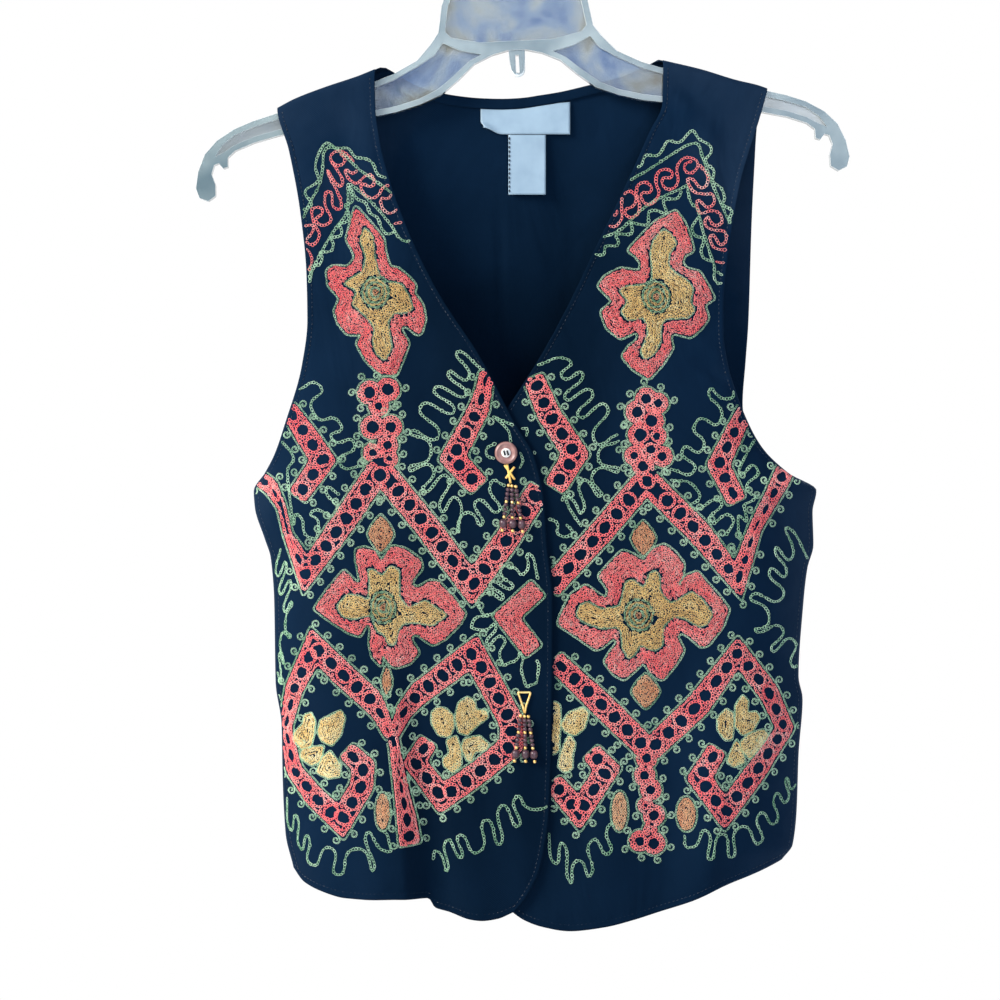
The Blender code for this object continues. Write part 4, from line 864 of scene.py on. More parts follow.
def softened(points, reach, closed=False):
    """Rounds the corners of a densely read line: the running mean of its points over a reach."""
    if closed:
        padded = np.concatenate([points[-reach:], points, points[:reach]])
    else:
        padded = np.concatenate([points[:1].repeat(reach, 0), points, points[-1:].repeat(reach, 0)])
    total = np.cumsum(np.concatenate([np.zeros((1, points.shape[1])), padded]), axis=0)
    width = 2 * reach + 1
    return (total[width:] - total[:-width]) / width


def rounded(corners, reach=2):
    """A closed outline through corners, which it rounds off a little."""
    closed = dense(corners + corners[:1])[:-1]
    return softened(closed, reach, closed=True)


def surface(depth_at, line):
    """Points of the front's outer face under a line of x and level."""
    x, level = line[:, 0], line[:, 1]
    return np.stack([x, -depth_at(x, level), -level], axis=1)


def surface_normals(depth_at, line):
    """Outward normals there: the depth's slopes across and down, taken over a short step."""
    x, level = line[:, 0], line[:, 1]
    step = 0.6
    across = (depth_at(x + step, level) - depth_at(x - step, level)) / (2 * step)
    down = (depth_at(x, level + step) - depth_at(x, level - step)) / (2 * step)
    normal = np.stack([-across, -np.ones_like(x), down], axis=1)
    return normal / np.linalg.norm(normal, axis=1, keepdims=True)


def stations(depth_at, line, pitch):
    """Ends of the stitches along a line, a stitch's length apart as measured on the cloth."""
    points = surface(depth_at, line)
    run = run_along(points)
    count = max(1, int(round(run[-1] / pitch)))
    at = np.linspace(0.0, run[-1], count + 1)
    return np.stack([np.interp(at, run, line[:, 0]), np.interp(at, run, line[:, 1])], axis=1)


def runs_of(line, keep, closed=False):
    """Splits a line into the runs of its points that are kept."""
    if keep.all():
        return [np.concatenate([line, line[:1]]) if closed else line]
    if not keep.any():
        return []
    if closed:
        first = int(np.argmin(keep))
        line = np.roll(line, -first, axis=0)
        keep = np.roll(keep, -first)
    marks = np.flatnonzero(np.diff(np.concatenate([[0], keep.astype(int), [0]])))
    return [line[a:b] for a, b in zip(marks[::2], marks[1::2]) if b - a > 2]


def gaps_to(points, others):
    """Distance from each point to the nearest of the others."""
    apart = points[:, None, :2] - others[None, :, :2]
    return np.sqrt((apart ** 2).sum(axis=2)).min(axis=1)


def inside(points, outline):
    """True for points inside a closed outline: a level line from them crosses it an odd number of times."""
    ahead = np.roll(outline, -1, axis=0)
    above = (outline[None, :, 1] > points[:, None, 1]) != (ahead[None, :, 1] > points[:, None, 1])
    rise = ahead[:, 1] - outline[:, 1]
    rise = np.where(np.abs(rise) < 1e-9, 1e-9, rise)
    crossing = outline[:, 0] + (points[:, 1:2] - outline[:, 1]) * (ahead[:, 0] - outline[:, 0]) / rise
    return (above & (points[:, 0:1] < crossing)).sum(axis=1) % 2 == 1


def sense(outline):
    """Which way a closed outline runs round: 1 or -1, the sign of the area inside it."""
    following = np.roll(outline, -1, axis=0)
    return np.sign((outline[:, 0] * following[:, 1] - following[:, 0] * outline[:, 1]).sum())


def offset_closed(outline, distance):
    """A closed outline moved inwards by a distance along its own normals."""
    ahead = np.roll(outline, -2, axis=0) - np.roll(outline, 2, axis=0)
    ahead /= np.linalg.norm(ahead, axis=1, keepdims=True)
    inward = np.stack([-ahead[:, 1], ahead[:, 0]], axis=1)
    return outline + inward * distance * sense(outline)


def rows_inside(outline, keep=None):
    """Rows that follow a closed outline inwards until it is full, cut where they would cross."""
    found = []
    distance = FIRST_ROW
    while distance < DEEPEST_ROW:
        moved = offset_closed(outline, distance)
        clear = (gaps_to(moved, outline) > distance * ROW_CLEAR_SHARE - ROW_SLACK) & inside(moved, outline)
        if not clear.any():
            break
        if keep is not None:
            clear &= keep(moved)
        found += runs_of(moved, clear, closed=True)
        distance += ROW_SPACING
    return found


def fillers(outline, rows, keep=None):
    """Single stitches inside a closed outline, wherever the rows sewn before leave room for one."""
    low = outline.min(axis=0)
    high = outline.max(axis=0)
    x, level = np.meshgrid(*(np.arange(low[axis], high[axis], FILLER_SPACING) for axis in (0, 1)))
    points = np.stack([x.ravel(), level.ravel()], axis=1)
    points = points[inside(points, outline)]
    points = points[gaps_to(points, outline) > FILLER_EDGE]
    if keep is not None and len(points):
        points = points[keep(points)]
    if len(rows) and len(points):
        points = points[gaps_to(points, np.concatenate(rows)) > FILLER_GAP]
    chosen = []
    for point in points:
        if all(np.hypot(*(point - other)) > FILLER_APART for other in chosen):
            chosen.append(point)
    half = np.array(FILLER_HALF)
    return [np.array([point - half, point + half]) for point in chosen]


def circle(x, level, wide, high, turn=0.0, count=48):
    """A closed ellipse, turned by an angle."""
    angle = np.linspace(0.0, 2 * np.pi, count, endpoint=False)
    across = wide * np.cos(angle)
    down = high * np.sin(angle)
    return np.stack([x + across * np.cos(turn) - down * np.sin(turn),
                     level + across * np.sin(turn) + down * np.cos(turn)], axis=1)


def pointed(x, level, half_width, half_height):
    """A bud's outline: two slightly bowed sides on either hand that meet in a point at both ends."""
    share = np.linspace(-1.0, 1.0, 40)
    side = half_width * (1 - np.abs(share) ** BUD_BOW) ** BUD_FULLNESS
    across = np.concatenate([side, -side[::-1][1:-1]])
    down = np.concatenate([share, share[::-1][1:-1]]) * half_height
    outline = np.stack([x + across, level + down], axis=1)
    return dense(np.concatenate([outline, outline[:1]]), 0.6)[:-1]


def mitred(corners, extra):
    """Closed outline of a band: its middle line moved to both sides by the half width and an extra
    amount, with mitred corners that are then softened, and closed across both ends."""
    centre = np.array([(corner.x, corner.level) for corner in corners], dtype=float)
    half = np.array([corner.half for corner in corners]) + extra
    ahead = np.diff(centre, axis=0)
    ahead /= np.linalg.norm(ahead, axis=1, keepdims=True)
    centre[0] -= ahead[0] * max(extra, 0.0)
    centre[-1] += ahead[-1] * max(extra, 0.0)
    before = np.concatenate([ahead[:1], ahead])
    after = np.concatenate([ahead, ahead[-1:]])
    middle = before + after
    middle /= np.linalg.norm(middle, axis=1, keepdims=True)
    aside = np.stack([-middle[:, 1], middle[:, 0]], axis=1)
    slant = np.maximum((middle * after).sum(axis=1), MITRE_LIMIT)
    reach = (half / slant)[:, None] * aside
    outline = np.concatenate([centre + reach, (centre - reach)[::-1]])
    return softened(dense(np.concatenate([outline, outline[:1]]), 0.7)[:-1], 3, closed=True)


def middle_line(corners):
    """A band's middle line read at an even step, with its half width as the third column."""
    return dense([(corner.x, corner.level, corner.half) for corner in corners], 1.0)


def clear_of(points, lines, extra):
    """True where a point is at least a band's half width and an extra amount from its middle line."""
    keep = np.ones(len(points), dtype=bool)
    for line in lines:
        apart = np.sqrt(((points[:, None, :2] - line[None, :, :2]) ** 2).sum(axis=2)) - line[None, :, 2]
        keep &= apart.min(axis=1) > extra - CLEAR_SLACK
    return keep


def coil(x, level, radius, turn, hand):
    """A small coil: it winds outwards from near its middle for one turn and a half."""
    angle = np.linspace(0.0, COIL_HALF_TURNS * np.pi, 24)
    reach = radius * np.clip(COIL_START + COIL_GROWTH * angle / angle[-1], 0.0, 1.0)
    angle = turn + hand * (angle - angle[-1])
    return np.stack([x + reach * np.cos(angle), level + reach * np.sin(angle)], axis=1)


def beside(line, spacing, start, hand):
    """Coils set at an even spacing along a line and a little to its outer side."""
    run = run_along(line)
    found = []
    for at in np.arange(start, run[-1] - 3.0, spacing):
        here = np.array([np.interp(at, run, line[:, axis]) for axis in (0, 1)])
        later = np.array([np.interp(at + 1.0, run, line[:, axis]) for axis in (0, 1)])
        ahead = (later - here) / np.linalg.norm(later - here)
        outward = hand * np.array([ahead[1], -ahead[0]])
        middle = here + PICOT_OUT * outward
        found.append(coil(middle[0], middle[1], PICOT_RADIUS, np.arctan2(-outward[1], -outward[0]), hand))
    return found


def curve(points, pull, step=0.7):
    """A smooth curve through points, in cubic pieces. Its direction at a point is that from the one
    before to the one after, and the pull says how far it holds to it: 0.5 for a plain curve, more
    than 1 for round loops between tips that lie on alternate sides."""
    points = np.array(points, dtype=float)
    padded = np.concatenate([points[:1], points, points[-1:]])
    tangent = (padded[2:] - padded[:-2]) * pull
    tangent[[0, -1]] *= 0.7
    t = np.linspace(0.0, 1.0, 24, endpoint=False)[:, None]
    pieces = [
        (1 + 2 * t) * (1 - t) ** 2 * here + t * (1 - t) ** 2 * lean
        + t * t * (3 - 2 * t) * there + t * t * (t - 1) * end_lean
        for here, there, lean, end_lean in zip(points, points[1:], tangent, tangent[1:])]
    return dense(np.concatenate(pieces + [points[-1:]]), step)


class Embroidery:
    """Rows of chain stitch on one front, gathered by the colour of their thread."""

    def __init__(self, panel, depth_at, low_edge):
        self.panel = panel
        self.depth_at = depth_at
        self.low_edge = low_edge
        self.rows = {"coral": [], "green": [], "gold": [], "peach": [], "navy": []}

    def shows(self, line):
        """True where the cloth is: inside the panel's edges and not under the lap."""
        x, level = line[:, 0], line[:, 1]
        keep = x > along(self.panel.left, level, "x") + EDGE_MARGIN
        keep &= x < along(self.panel.right, level, "x") - EDGE_MARGIN
        keep &= level < line_level(self.panel.hem, x) - HEM_WIDTH
        keep &= level > line_level(self.panel.top, x) + TOP_MARGIN
        if self.low_edge is not None:
            keep &= x > along(self.low_edge, level, "x") + LAP_CLEARANCE
        return keep

    def sew(self, thread, line, kind=LINE, closed=False):
        """Adds one row of stitches along a line, where the cloth shows."""
        for run in runs_of(line, self.shows(line), closed):
            found = stations(self.depth_at, run, kind.pitch)
            if len(found) > 1:
                self.rows[thread].append((found, kind))

    def sew_all(self, thread, lines, kind=LINE):
        """Adds a row of stitches along each of several lines."""
        for line in lines:
            self.sew(thread, line, kind)

    def fill(self, thread, outline, keep=None, kind=FILL):
        """Fills a closed outline with rows that follow it and single stitches in what they leave."""
        rows = rows_inside(outline, keep)
        self.sew_all(thread, rows, kind)
        self.sew_all(thread, fillers(outline, rows, keep), kind)

    def band(self, corners, others, holes=()):
        """One band: edge rows, a ring round each hole, filling rows, green edges and coils."""
        own = middle_line(corners)
        lines = [middle_line(other) for other in others]
        run = run_along(own[:, :2])
        count = max(1, int(round(run[-1] / HOLE_SPACING)))
        middles = []
        for at in (np.arange(count) + 0.5) * run[-1] / count:
            x, level, half = (np.interp(at, run, own[:, axis]) for axis in range(3))
            later = [np.interp(at + 1.0, run, own[:, axis]) for axis in (0, 1)]
            earlier = [np.interp(at - 1.0, run, own[:, axis]) for axis in (0, 1)]
            turn = np.arctan2(later[1] - earlier[1], later[0] - earlier[0])
            aside = min(RING_RADIUS, half - RING_INSET)
            spot = np.array([[x, level]])
            taken = any(np.hypot(x - hole.x, level - hole.level) < hole.radius + RING_APART for hole in holes)
            if aside > 1.0 and not taken and clear_of(spot, lines, RING_CROSSING)[0]:
                size = 1 + RING_VARIES * np.sin(RING_PACE * x + level)
                ring = circle(x, level, RING_RADIUS * size, aside * (RING_EVEN - size), turn)
                self.sew("coral", ring, BAND, closed=True)
                middles.append((x, level, aside))
        rings = [np.array([middle]) for middle in middles]
        holes_near = [np.array([[hole.x, hole.level, hole.radius + HOLE_RIM]]) for hole in holes]
        for extra, thread in BAND_ROWS:
            outline = mitred(corners, extra)
            keep = clear_of(outline, lines, extra) & clear_of(outline, holes_near, HOLE_CLEAR)
            if thread == "coral":
                keep &= gaps_to(outline, own) > MIDDLE_CLEAR
            if extra == BAND_ROWS[1][0]:
                keep &= clear_of(outline, rings, RING_CLEAR)
            found = runs_of(outline, keep, closed=True)
            self.sew_all(thread, found, EDGE if thread == "green" else BAND)
            if thread == "green":
                self.coils(outline, keep & (gaps_to(outline, own) > COIL_CLEAR))

    def coils(self, outline, keep):
        """Small coils along the outer side of a closed green line."""
        for run in runs_of(outline, keep, closed=True):
            if len(run) > 12:
                self.sew_all("green", beside(run, PICOT_SPACING, 4.0, sense(outline)), COIL)

    def stem(self, holes, bands):
        """A cluster of rings: each hole has its ring and a second row where no other ring is near."""
        lines = [middle_line(corners) for corners in bands]
        spots = [np.array([[hole.x, hole.level, hole.radius]]) for hole in holes]
        for number, hole in enumerate(holes):
            rest = spots[:number] + spots[number + 1:]
            for out, thread in STEM_ROWS:
                ring = circle(hole.x, hole.level, hole.radius + out, hole.radius + out)
                keep = clear_of(ring, rest, out) & (clear_of(ring, lines, out - 4.0) | (out < 2.0))
                for run in runs_of(ring, keep, closed=True):
                    self.sew(thread, run, EDGE if thread == "green" else BAND)
                    if thread == "green" and len(run) > 8:
                        self.sew_all("green", beside(run, STEM_PICOT_SPACING, 2.0, 1), COIL)

    def medallion(self, outer, heart, place):
        """Coral lobes round a gold heart with a green disc, each filled with rows that follow it."""
        outer = rounded(outer)
        heart = rounded(heart)
        disc = circle(place.x, place.level, place.wide, place.high)

        def round_heart(points):
            return ~inside(points, heart) & (gaps_to(points, heart) > HEART_CLEAR)

        def round_disc(points):
            return ~inside(points, disc) & (gaps_to(points, disc) > DISC_CLEAR)

        self.fill("coral", outer, round_heart)
        self.fill("gold", heart, round_disc)
        self.sew("green", heart, EDGE, closed=True)
        for share, thread in DISC_ROWS:
            line = circle(place.x, place.level, place.wide * share, place.high * share)
            self.sew(thread, line, DISC, closed=True)
        self.sew("green", offset_closed(outer, -MEDALLION_EDGE), EDGE, closed=True)

    def bud(self, outline, kind):
        """A pointed or oval bud, filled and then outlined in green."""
        self.fill("peach", outline, kind=kind)
        self.sew("green", offset_closed(outline, -BUD_EDGE), EDGE, closed=True)

    def petal(self, corners):
        """A gold petal inside a green outline."""
        outline = offset_closed(rounded(corners, 1), -PETAL_EDGE)
        self.fill("gold", outline, kind=PETAL)
        self.sew("green", outline, VEIN, closed=True)


def links(rows, kind, depth_at, rng):
    """Points, faces and tones of the stitches of one kind: each is a ring of thread from one station
    to the next, whose section has two corners at the cloth and one above the thread."""
    starts = np.concatenate([row[:-1] for row in rows])
    ends = np.concatenate([row[1:] for row in rows])
    row_tone = np.concatenate([np.full(len(row) - 1, rng.random()) for row in rows])
    count = len(starts)
    turns = len(kind.loop)
    starts = starts + rng.normal(0.0, kind.uneven, starts.shape)
    ends = ends + rng.normal(0.0, kind.uneven, ends.shape)
    first = surface(depth_at, starts)
    last = surface(depth_at, ends)
    normal = surface_normals(depth_at, (starts + ends) / 2)
    ahead = last - first
    length = np.linalg.norm(ahead, axis=1, keepdims=True)
    unit = ahead / length
    aside = np.cross(normal, unit)
    aside /= np.linalg.norm(aside, axis=1, keepdims=True)
    wide = kind.width * (1 + (WIDTH_VARIES + kind.uneven) * rng.standard_normal((count, 1)))
    rise = kind.uneven * rng.random((count, 1))
    ring = []
    for turn in kind.loop:
        middle = first + ahead * turn.ahead + aside * wide * turn.aside + normal * (turn.lift + rise)
        outward = unit * (turn.ahead - 0.5) * length + aside * wide * turn.aside
        outward /= np.linalg.norm(outward, axis=1, keepdims=True)
        low = (SUNK + rise) * normal
        ring.append([middle + outward * kind.thread - low, middle + normal * kind.thread * APEX,
                     middle - outward * kind.thread - low])
    points = np.array(ring).transpose(2, 0, 1, 3).reshape(-1, 3)
    index = np.arange(3 * turns).reshape(turns, 3)
    onward = np.roll(index, -1, axis=0)
    faces = np.stack([index, onward, np.roll(onward, -1, axis=1), np.roll(index, -1, axis=1)], axis=-1)
    faces = (faces.reshape(1, -1, 4) + 3 * turns * np.arange(count)[:, None, None]).reshape(-1, 4)
    tone = kind.tone + ROW_TONE * row_tone + STITCH_TONE * rng.random(count)
    tone = tone[:, None] + TURN_TONE * rng.random((count, turns))
    return points, faces, np.clip(tone, 0, 1).repeat(3)


def stitch_piece(name, rows, depth_at, material, rng):
    """The chain stitch of one thread as a single mesh, kind by kind."""
    points, faces, tones = [], [], []
    start = 0
    for kind in KINDS:
        found = [row for row, used in rows if used is kind]
        if found:
            some_points, some_faces, some_tones = links(found, kind, depth_at, rng)
            points.append(some_points)
            faces.append(some_faces + start)
            tones.append(some_tones)
            start += len(some_points)
    made = piece_from(name, np.concatenate(points), np.concatenate(faces), material)
    add_tone(made, np.concatenate(tones))
    return made


def add_tone(made, tone):
    """A value from 0 to 1 at each point, which the material reads as how light the thread is."""
    layer = made.data.attributes.new("tone", "FLOAT", "POINT")
    layer.data.foreach_set("value", np.asarray(tone, dtype=np.float32))


def linear(code):
    """An sRGB hex value as the linear colour that a shader takes."""
    parts = np.array([int(code[i:i + 2], 16) for i in (1, 3, 5)]) / 255
    low = parts / 12.92
    high = ((parts + 0.055) / 1.055) ** 2.4
    return (*np.where(parts <= 0.04045, low, high).tolist(), 1.0)


def node(tree, kind, settings=(), **links):
    """Adds one node: settings as pairs of name and value, links as input name or number to a socket."""
    made = tree.nodes.new(kind)
    for name, value in dict(settings).items():
        if hasattr(made, name):
            setattr(made, name, value)
        else:
            made.inputs[name].default_value = value
    for name, socket in links.items():
        key = int(name[1:]) if name[1:].isdigit() else name.replace("_", " ")
        tree.links.new(socket, made.inputs[key])
    return made


def ramp(tree, factor, stops):
    """A colour ramp with its stops as pairs of place and hex value."""
    made = node(tree, "ShaderNodeValToRGB", Fac=factor)
    bar = made.color_ramp
    bar.elements[0].position, bar.elements[0].color = stops[0][0], linear(stops[0][1])
    bar.elements[1].position, bar.elements[1].color = stops[-1][0], linear(stops[-1][1])
    for place, code in stops[1:-1]:
        bar.elements.new(place).color = linear(code)
    return made


def new_material(name, **values):
    """A Principled material with constants on its own sockets, its tree and its shader."""
    made = bpy.data.materials.new(name)
    made.use_nodes = True
    tree = made.node_tree
    shader = tree.nodes["Principled BSDF"]
    for key, value in values.items():
        shader.inputs[key.replace("_", " ")].default_value = value
    return made, tree, shader


def clouds(tree, scale, detail, **settings):
    """A soft noise over the piece's own place."""
    place = node(tree, "ShaderNodeTexCoord")
    made = node(tree, "ShaderNodeTexNoise", {"Scale": scale, "Detail": detail, **settings},
                Vector=place.outputs["Object"])
    return made.outputs["Fac"]


def maths(tree, operation, *values):
    """The result of one operation on sockets and plain numbers."""
    made = node(tree, "ShaderNodeMath", {"operation": operation})
    for socket, value in zip(made.inputs, values):
        if isinstance(value, float):
            socket.default_value = value
        else:
            tree.links.new(value, socket)
    return made.outputs[0]


def beyond(tree, value, start, end, most):
    """Rises from 0 at the start to the most at the end."""
    settings = {"From Min": start, "From Max": end, "To Max": most}
    return node(tree, "ShaderNodeMapRange", settings, Value=value).outputs[0]


def paint(tree, shader, factor, stops):
    """Gives the shader a colour that runs through the stops with the factor."""
    tree.links.new(ramp(tree, factor, stops).outputs["Color"], shader.inputs["Base Color"])


def relief(tree, shader, height, strength, distance):
    """Gives the shader a fine relief from a height; a later relief lies on top of those before."""
    bump = node(tree, "ShaderNodeBump", {"Strength": strength, "Distance": distance}, Height=height)
    for link in shader.inputs["Normal"].links:
        tree.links.new(link.from_socket, bump.inputs["Normal"])
    tree.links.new(bump.outputs["Normal"], shader.inputs["Normal"])


def clouded(name, scale, detail, stops, **values):
    """A material whose colour drifts softly over the piece."""
    made, tree, shader = new_material(name, **values)
    noise = clouds(tree, scale, detail)
    paint(tree, shader, noise, stops)
    return made, tree, shader, noise


def cotton_cloth():
    """Navy cotton in a close twill: deep in the middle of the body, with a painted sheen that lightens it
    towards the shoulders and the sides, and a soft bloom at grazing angles over fine slanting ribs."""
    made, tree, shader = new_material("navy_cotton_twill", Roughness=0.8, Specular_IOR_Level=0.1,
                                      Sheen_Weight=0.1, Specular_Tint=linear("#7fa6d6"),
                                      Sheen_Roughness=0.45, Sheen_Tint=linear("#4f79a8"))
    place = node(tree, "ShaderNodeTexCoord").outputs["Object"]
    axes = node(tree, "ShaderNodeSeparateXYZ", Vector=place)
    # Painted sheen: the colour grows lighter towards the sides and towards the shoulders, where light glances
    # off the cloth
    sides = beyond(tree, maths(tree, "ABSOLUTE", axes.outputs["X"]), 0.04, 0.22, 0.42)
    painted_sheen = maths(tree, "ADD", sides, beyond(tree, axes.outputs["Z"], -0.30, -0.12, 0.2))
    # A random mottle plus the painted sheen picks the navy's colour
    mottle_and_painted_sheen = maths(tree, "MULTIPLY_ADD", clouds(tree, 8.0, 5.0, Roughness=0.55), 0.55, painted_sheen)
    paint(tree, shader, mottle_and_painted_sheen, [(0.25, "#020f1e"), (0.55, "#071a2e"), (0.85, "#223144")])
    # The real twill is 0.4 mm; drawn 1.1 mm apart so that it shows
    slanted = node(tree, "ShaderNodeMapping", {"Rotation": (0.0, 0.9, 0.0)}, Vector=place)
    ribs = node(tree, "ShaderNodeTexWave", {"bands_direction": "X", "Scale": 286.0, "Distortion": 1.6,
                                            "Detail": 2.0, "Detail Scale": 3.0},
                Vector=slanted.outputs["Vector"])
    relief(tree, shader, maths(tree, "ADD", ribs.outputs["Fac"], clouds(tree, 900.0, 3.0)), 0.22, 0.0003)
    drawn_out = node(tree, "ShaderNodeMapping", {"Scale": (1.0, 1.0, 0.5), "Rotation": (0.0, 0.25, 0.0)},
                     Vector=place)
    crumple = node(tree, "ShaderNodeTexNoise", {"Scale": 17.0, "Detail": 3.0, "Distortion": 1.2},
                   Vector=drawn_out.outputs["Vector"])
    relief(tree, shader, crumple.outputs["Fac"], 0.5, 0.007)
    return made


def thread_material(name, stops):
    """Embroidery thread: a low lustre along the twist, lighter and darker from stitch to stitch."""
    made, tree, shader = new_material(name, Roughness=0.5, Specular_IOR_Level=0.38, Sheen_Weight=0.3,
                                      Sheen_Roughness=0.4)
    tone = node(tree, "ShaderNodeAttribute", {"attribute_name": "tone"})
    cloud = maths(tree, "MULTIPLY", clouds(tree, 34.0, 3.0), 0.45)
    paint(tree, shader, maths(tree, "MULTIPLY_ADD", tone.outputs["Fac"], 0.7, cloud), stops)
    relief(tree, shader, clouds(tree, 1500.0, 2.0), 0.35, 0.0002)
    return made


def satin_ribbon():
    """Woven polyester satin of the labels: a cool white with a fine cross rib and a soft shine."""
    made, tree, shader, _ = clouded("woven_satin_label", 70.0, 3.0, [(0.3, "#7d94a6"), (0.7, "#8aa1b2")],
                                    Roughness=0.42, Specular_IOR_Level=0.45, Sheen_Weight=0.2)
    place = node(tree, "ShaderNodeTexCoord")
    ribs = node(tree, "ShaderNodeTexWave", {"bands_direction": "Z", "Scale": 420.0, "Distortion": 0.6},
                Vector=place.outputs["Object"])
    relief(tree, shader, ribs.outputs["Fac"], 0.2, 0.0002)
    return made


def hanger_web():
    """Injection-moulded clear polystyrene, thin: blue-grey with mottled flow marks, and paler at the ends,
    where the light of the white wall behind is painted in.
    """
    made, tree, shader = new_material("clear_polystyrene_web", Roughness=0.12, IOR=1.48,
                                      Transmission_Weight=0.6)
    flow = clouds(tree, 34.0, 5.0, Distortion=0.4)
    colour = ramp(tree, flow, [(0.34, "#3c5f8d"), (0.46, "#6d829b"), (0.56, "#8d979a"), (0.66, "#77745f")])
    axes = node(tree, "ShaderNodeSeparateXYZ", Vector=node(tree, "ShaderNodeTexCoord").outputs["Object"])
    # Painted light: towards the ends, out beside the vest, the colour is mixed with a pale grey for the white
    # wall shining through
    ends = beyond(tree, maths(tree, "ABSOLUTE", axes.outputs["X"]), 0.11, 0.17, 0.75)
    pale = node(tree, "ShaderNodeMixRGB", {"Color2": linear("#c3c9c9")}, Fac=ends,
                Color1=colour.outputs["Color"])
    tree.links.new(pale.outputs["Color"], shader.inputs["Base Color"])
    relief(tree, shader, flow, 0.3, 0.0012)
    return made


def hanger_rim():
    """The same plastic where it is thick: a grey-green tint with streaks along the mould's flow."""
    return clouded("clear_polystyrene_rim", 22.0, 3.0, [(0.35, "#6b8089"), (0.65, "#a3b3b6")],
                   Roughness=0.1, IOR=1.5, Transmission_Weight=0.5)[0]


def painted_highlight_plastic():
    """Near-white plastic that paints a highlight along the moulding's rounded edges; the peg is made of it
    too.
    """
    return new_material("polystyrene_painted_highlight", Roughness=0.2, IOR=1.5, Transmission_Weight=0.1,
                        Base_Color=linear("#f4f9f8"))[0]


def button_resin():
    """Cast polyester button: dusty pink with faint clouds and a polished rim."""
    stops = [(0.32, "#7d5651"), (0.55, "#956d67"), (0.75, "#ab857e")]
    return clouded("cast_polyester_button", 260.0, 4.0, stops,
                   Roughness=0.45, IOR=1.5, Coat_Weight=0.1, Coat_Roughness=0.15)[0]


def white_resin():
    """White casein at the middle of the button."""
    return new_material("white_button_centre", Roughness=0.35, Base_Color=linear("#e9e6e0"))[0]


def dark_thread():
    """Dark cotton thread that holds the button and edges the care tag."""
    return new_material("dark_button_thread", Roughness=0.8, Base_Color=linear("#14161c"))[0]


def bead_glass():
    """Pressed glass beads: a dark mauve body with soft highlights, a little matt from wear."""
    return clouded("pressed_glass_bead", 500.0, 2.0, [(0.35, "#35202a"), (0.65, "#573a42")],
                   Roughness=0.28, IOR=1.52)[0]


def gilt_metal():
    """Gilt metal beads and wire: warm, polished, with tiny dents."""
    made, tree, shader, dents = clouded("gilt_brass_wire", 800.0, 2.0, [(0.3, "#dba850"), (0.7, "#ffe09a")],
                                        Roughness=0.34, Metallic=0.8)
    relief(tree, shader, dents, 0.2, 0.0002)
    return made


def on_back_inside(x, level, stand_off):
    """Points on the inside of the back, moved towards the viewer by a stand-off."""
    return np.stack([x, panel_depth(BACK, x, level) - CLOTH - stand_off, -level], axis=-1)


def trim_piece(name, x, level, lift, material):
    """A thin strip or patch on the inside of the back, lifted from it where it curls."""
    near = on_back_inside(x, level, SEAM_GAP + TRIM_CLOTH * 0.8 + lift)
    far = on_back_inside(x, level, SEAM_GAP + TRIM_CLOTH * 0.2 + lift)
    return wall_piece(name, near, far, material)


def patch(left, right, columns, rows):
    """x of a grid between two edges, and the shares across and down of each of its points."""
    across = np.linspace(0.0, 1.0, columns)[None, :].repeat(rows, axis=0)
    down = np.linspace(0.0, 1.0, rows)[:, None].repeat(columns, axis=1)
    return left + (right - left) * across, across, down


def bead_piece(name, beads, material):
    """Rounded beads as one piece, from rows of x, y, z, radius and half height: rings of points whose
    radius follows half a turn from pole to pole."""
    beads = np.array(beads, dtype=float)
    polar = np.linspace(0.0, np.pi, BEAD_RINGS)
    angle = np.arange(BEAD_SIDES) * 2 * np.pi / BEAD_SIDES
    flat = np.sin(polar)[:, None] ** BEAD_ROUNDNESS
    upright = np.cos(polar)[:, None].repeat(BEAD_SIDES, 1)
    shape = np.stack([flat * np.cos(angle), flat * np.sin(angle), upright], axis=-1).reshape(-1, 3)
    points = beads[:, None, :3] + shape[None, :, :] * beads[:, None, [3, 3, 4]]
    index = np.arange(len(shape)).reshape(BEAD_RINGS, BEAD_SIDES)
    following = np.roll(index, -1, axis=1)
    faces = np.stack([index[:-1], index[1:], following[1:], following[:-1]], axis=-1).reshape(-1, 4)
    faces = (faces[None, :, :] + len(shape) * np.arange(len(beads))[:, None, None]).reshape(-1, 4)
    made = piece_from(name, points.reshape(-1, 3), faces, material)
    face_out(made, merge=POLE_MERGE)
    made.data.shade_smooth()
    return made


def tube_points(path, radius, sides=8):
    """A round bar along a path: a ring of points square to the path at each of its points."""
    path = np.asarray(path, dtype=float)
    ahead = np.gradient(path, axis=0)
    ahead /= np.linalg.norm(ahead, axis=1, keepdims=True)
    helper = np.where(np.abs(ahead[:, 1:2]) > 0.9, (1.0, 0.0, 0.0), (0.0, 1.0, 0.0))
    aside = np.cross(ahead, helper)
    aside /= np.linalg.norm(aside, axis=1, keepdims=True)
    other = np.cross(ahead, aside)
    angle = np.arange(sides) * 2 * np.pi / sides
    ring = aside[:, None, :] * np.cos(angle)[None, :, None] + other[:, None, :] * np.sin(angle)[None, :, None]
    return path[:, None, :] + ring * np.broadcast_to(radius, (len(path),))[:, None, None]


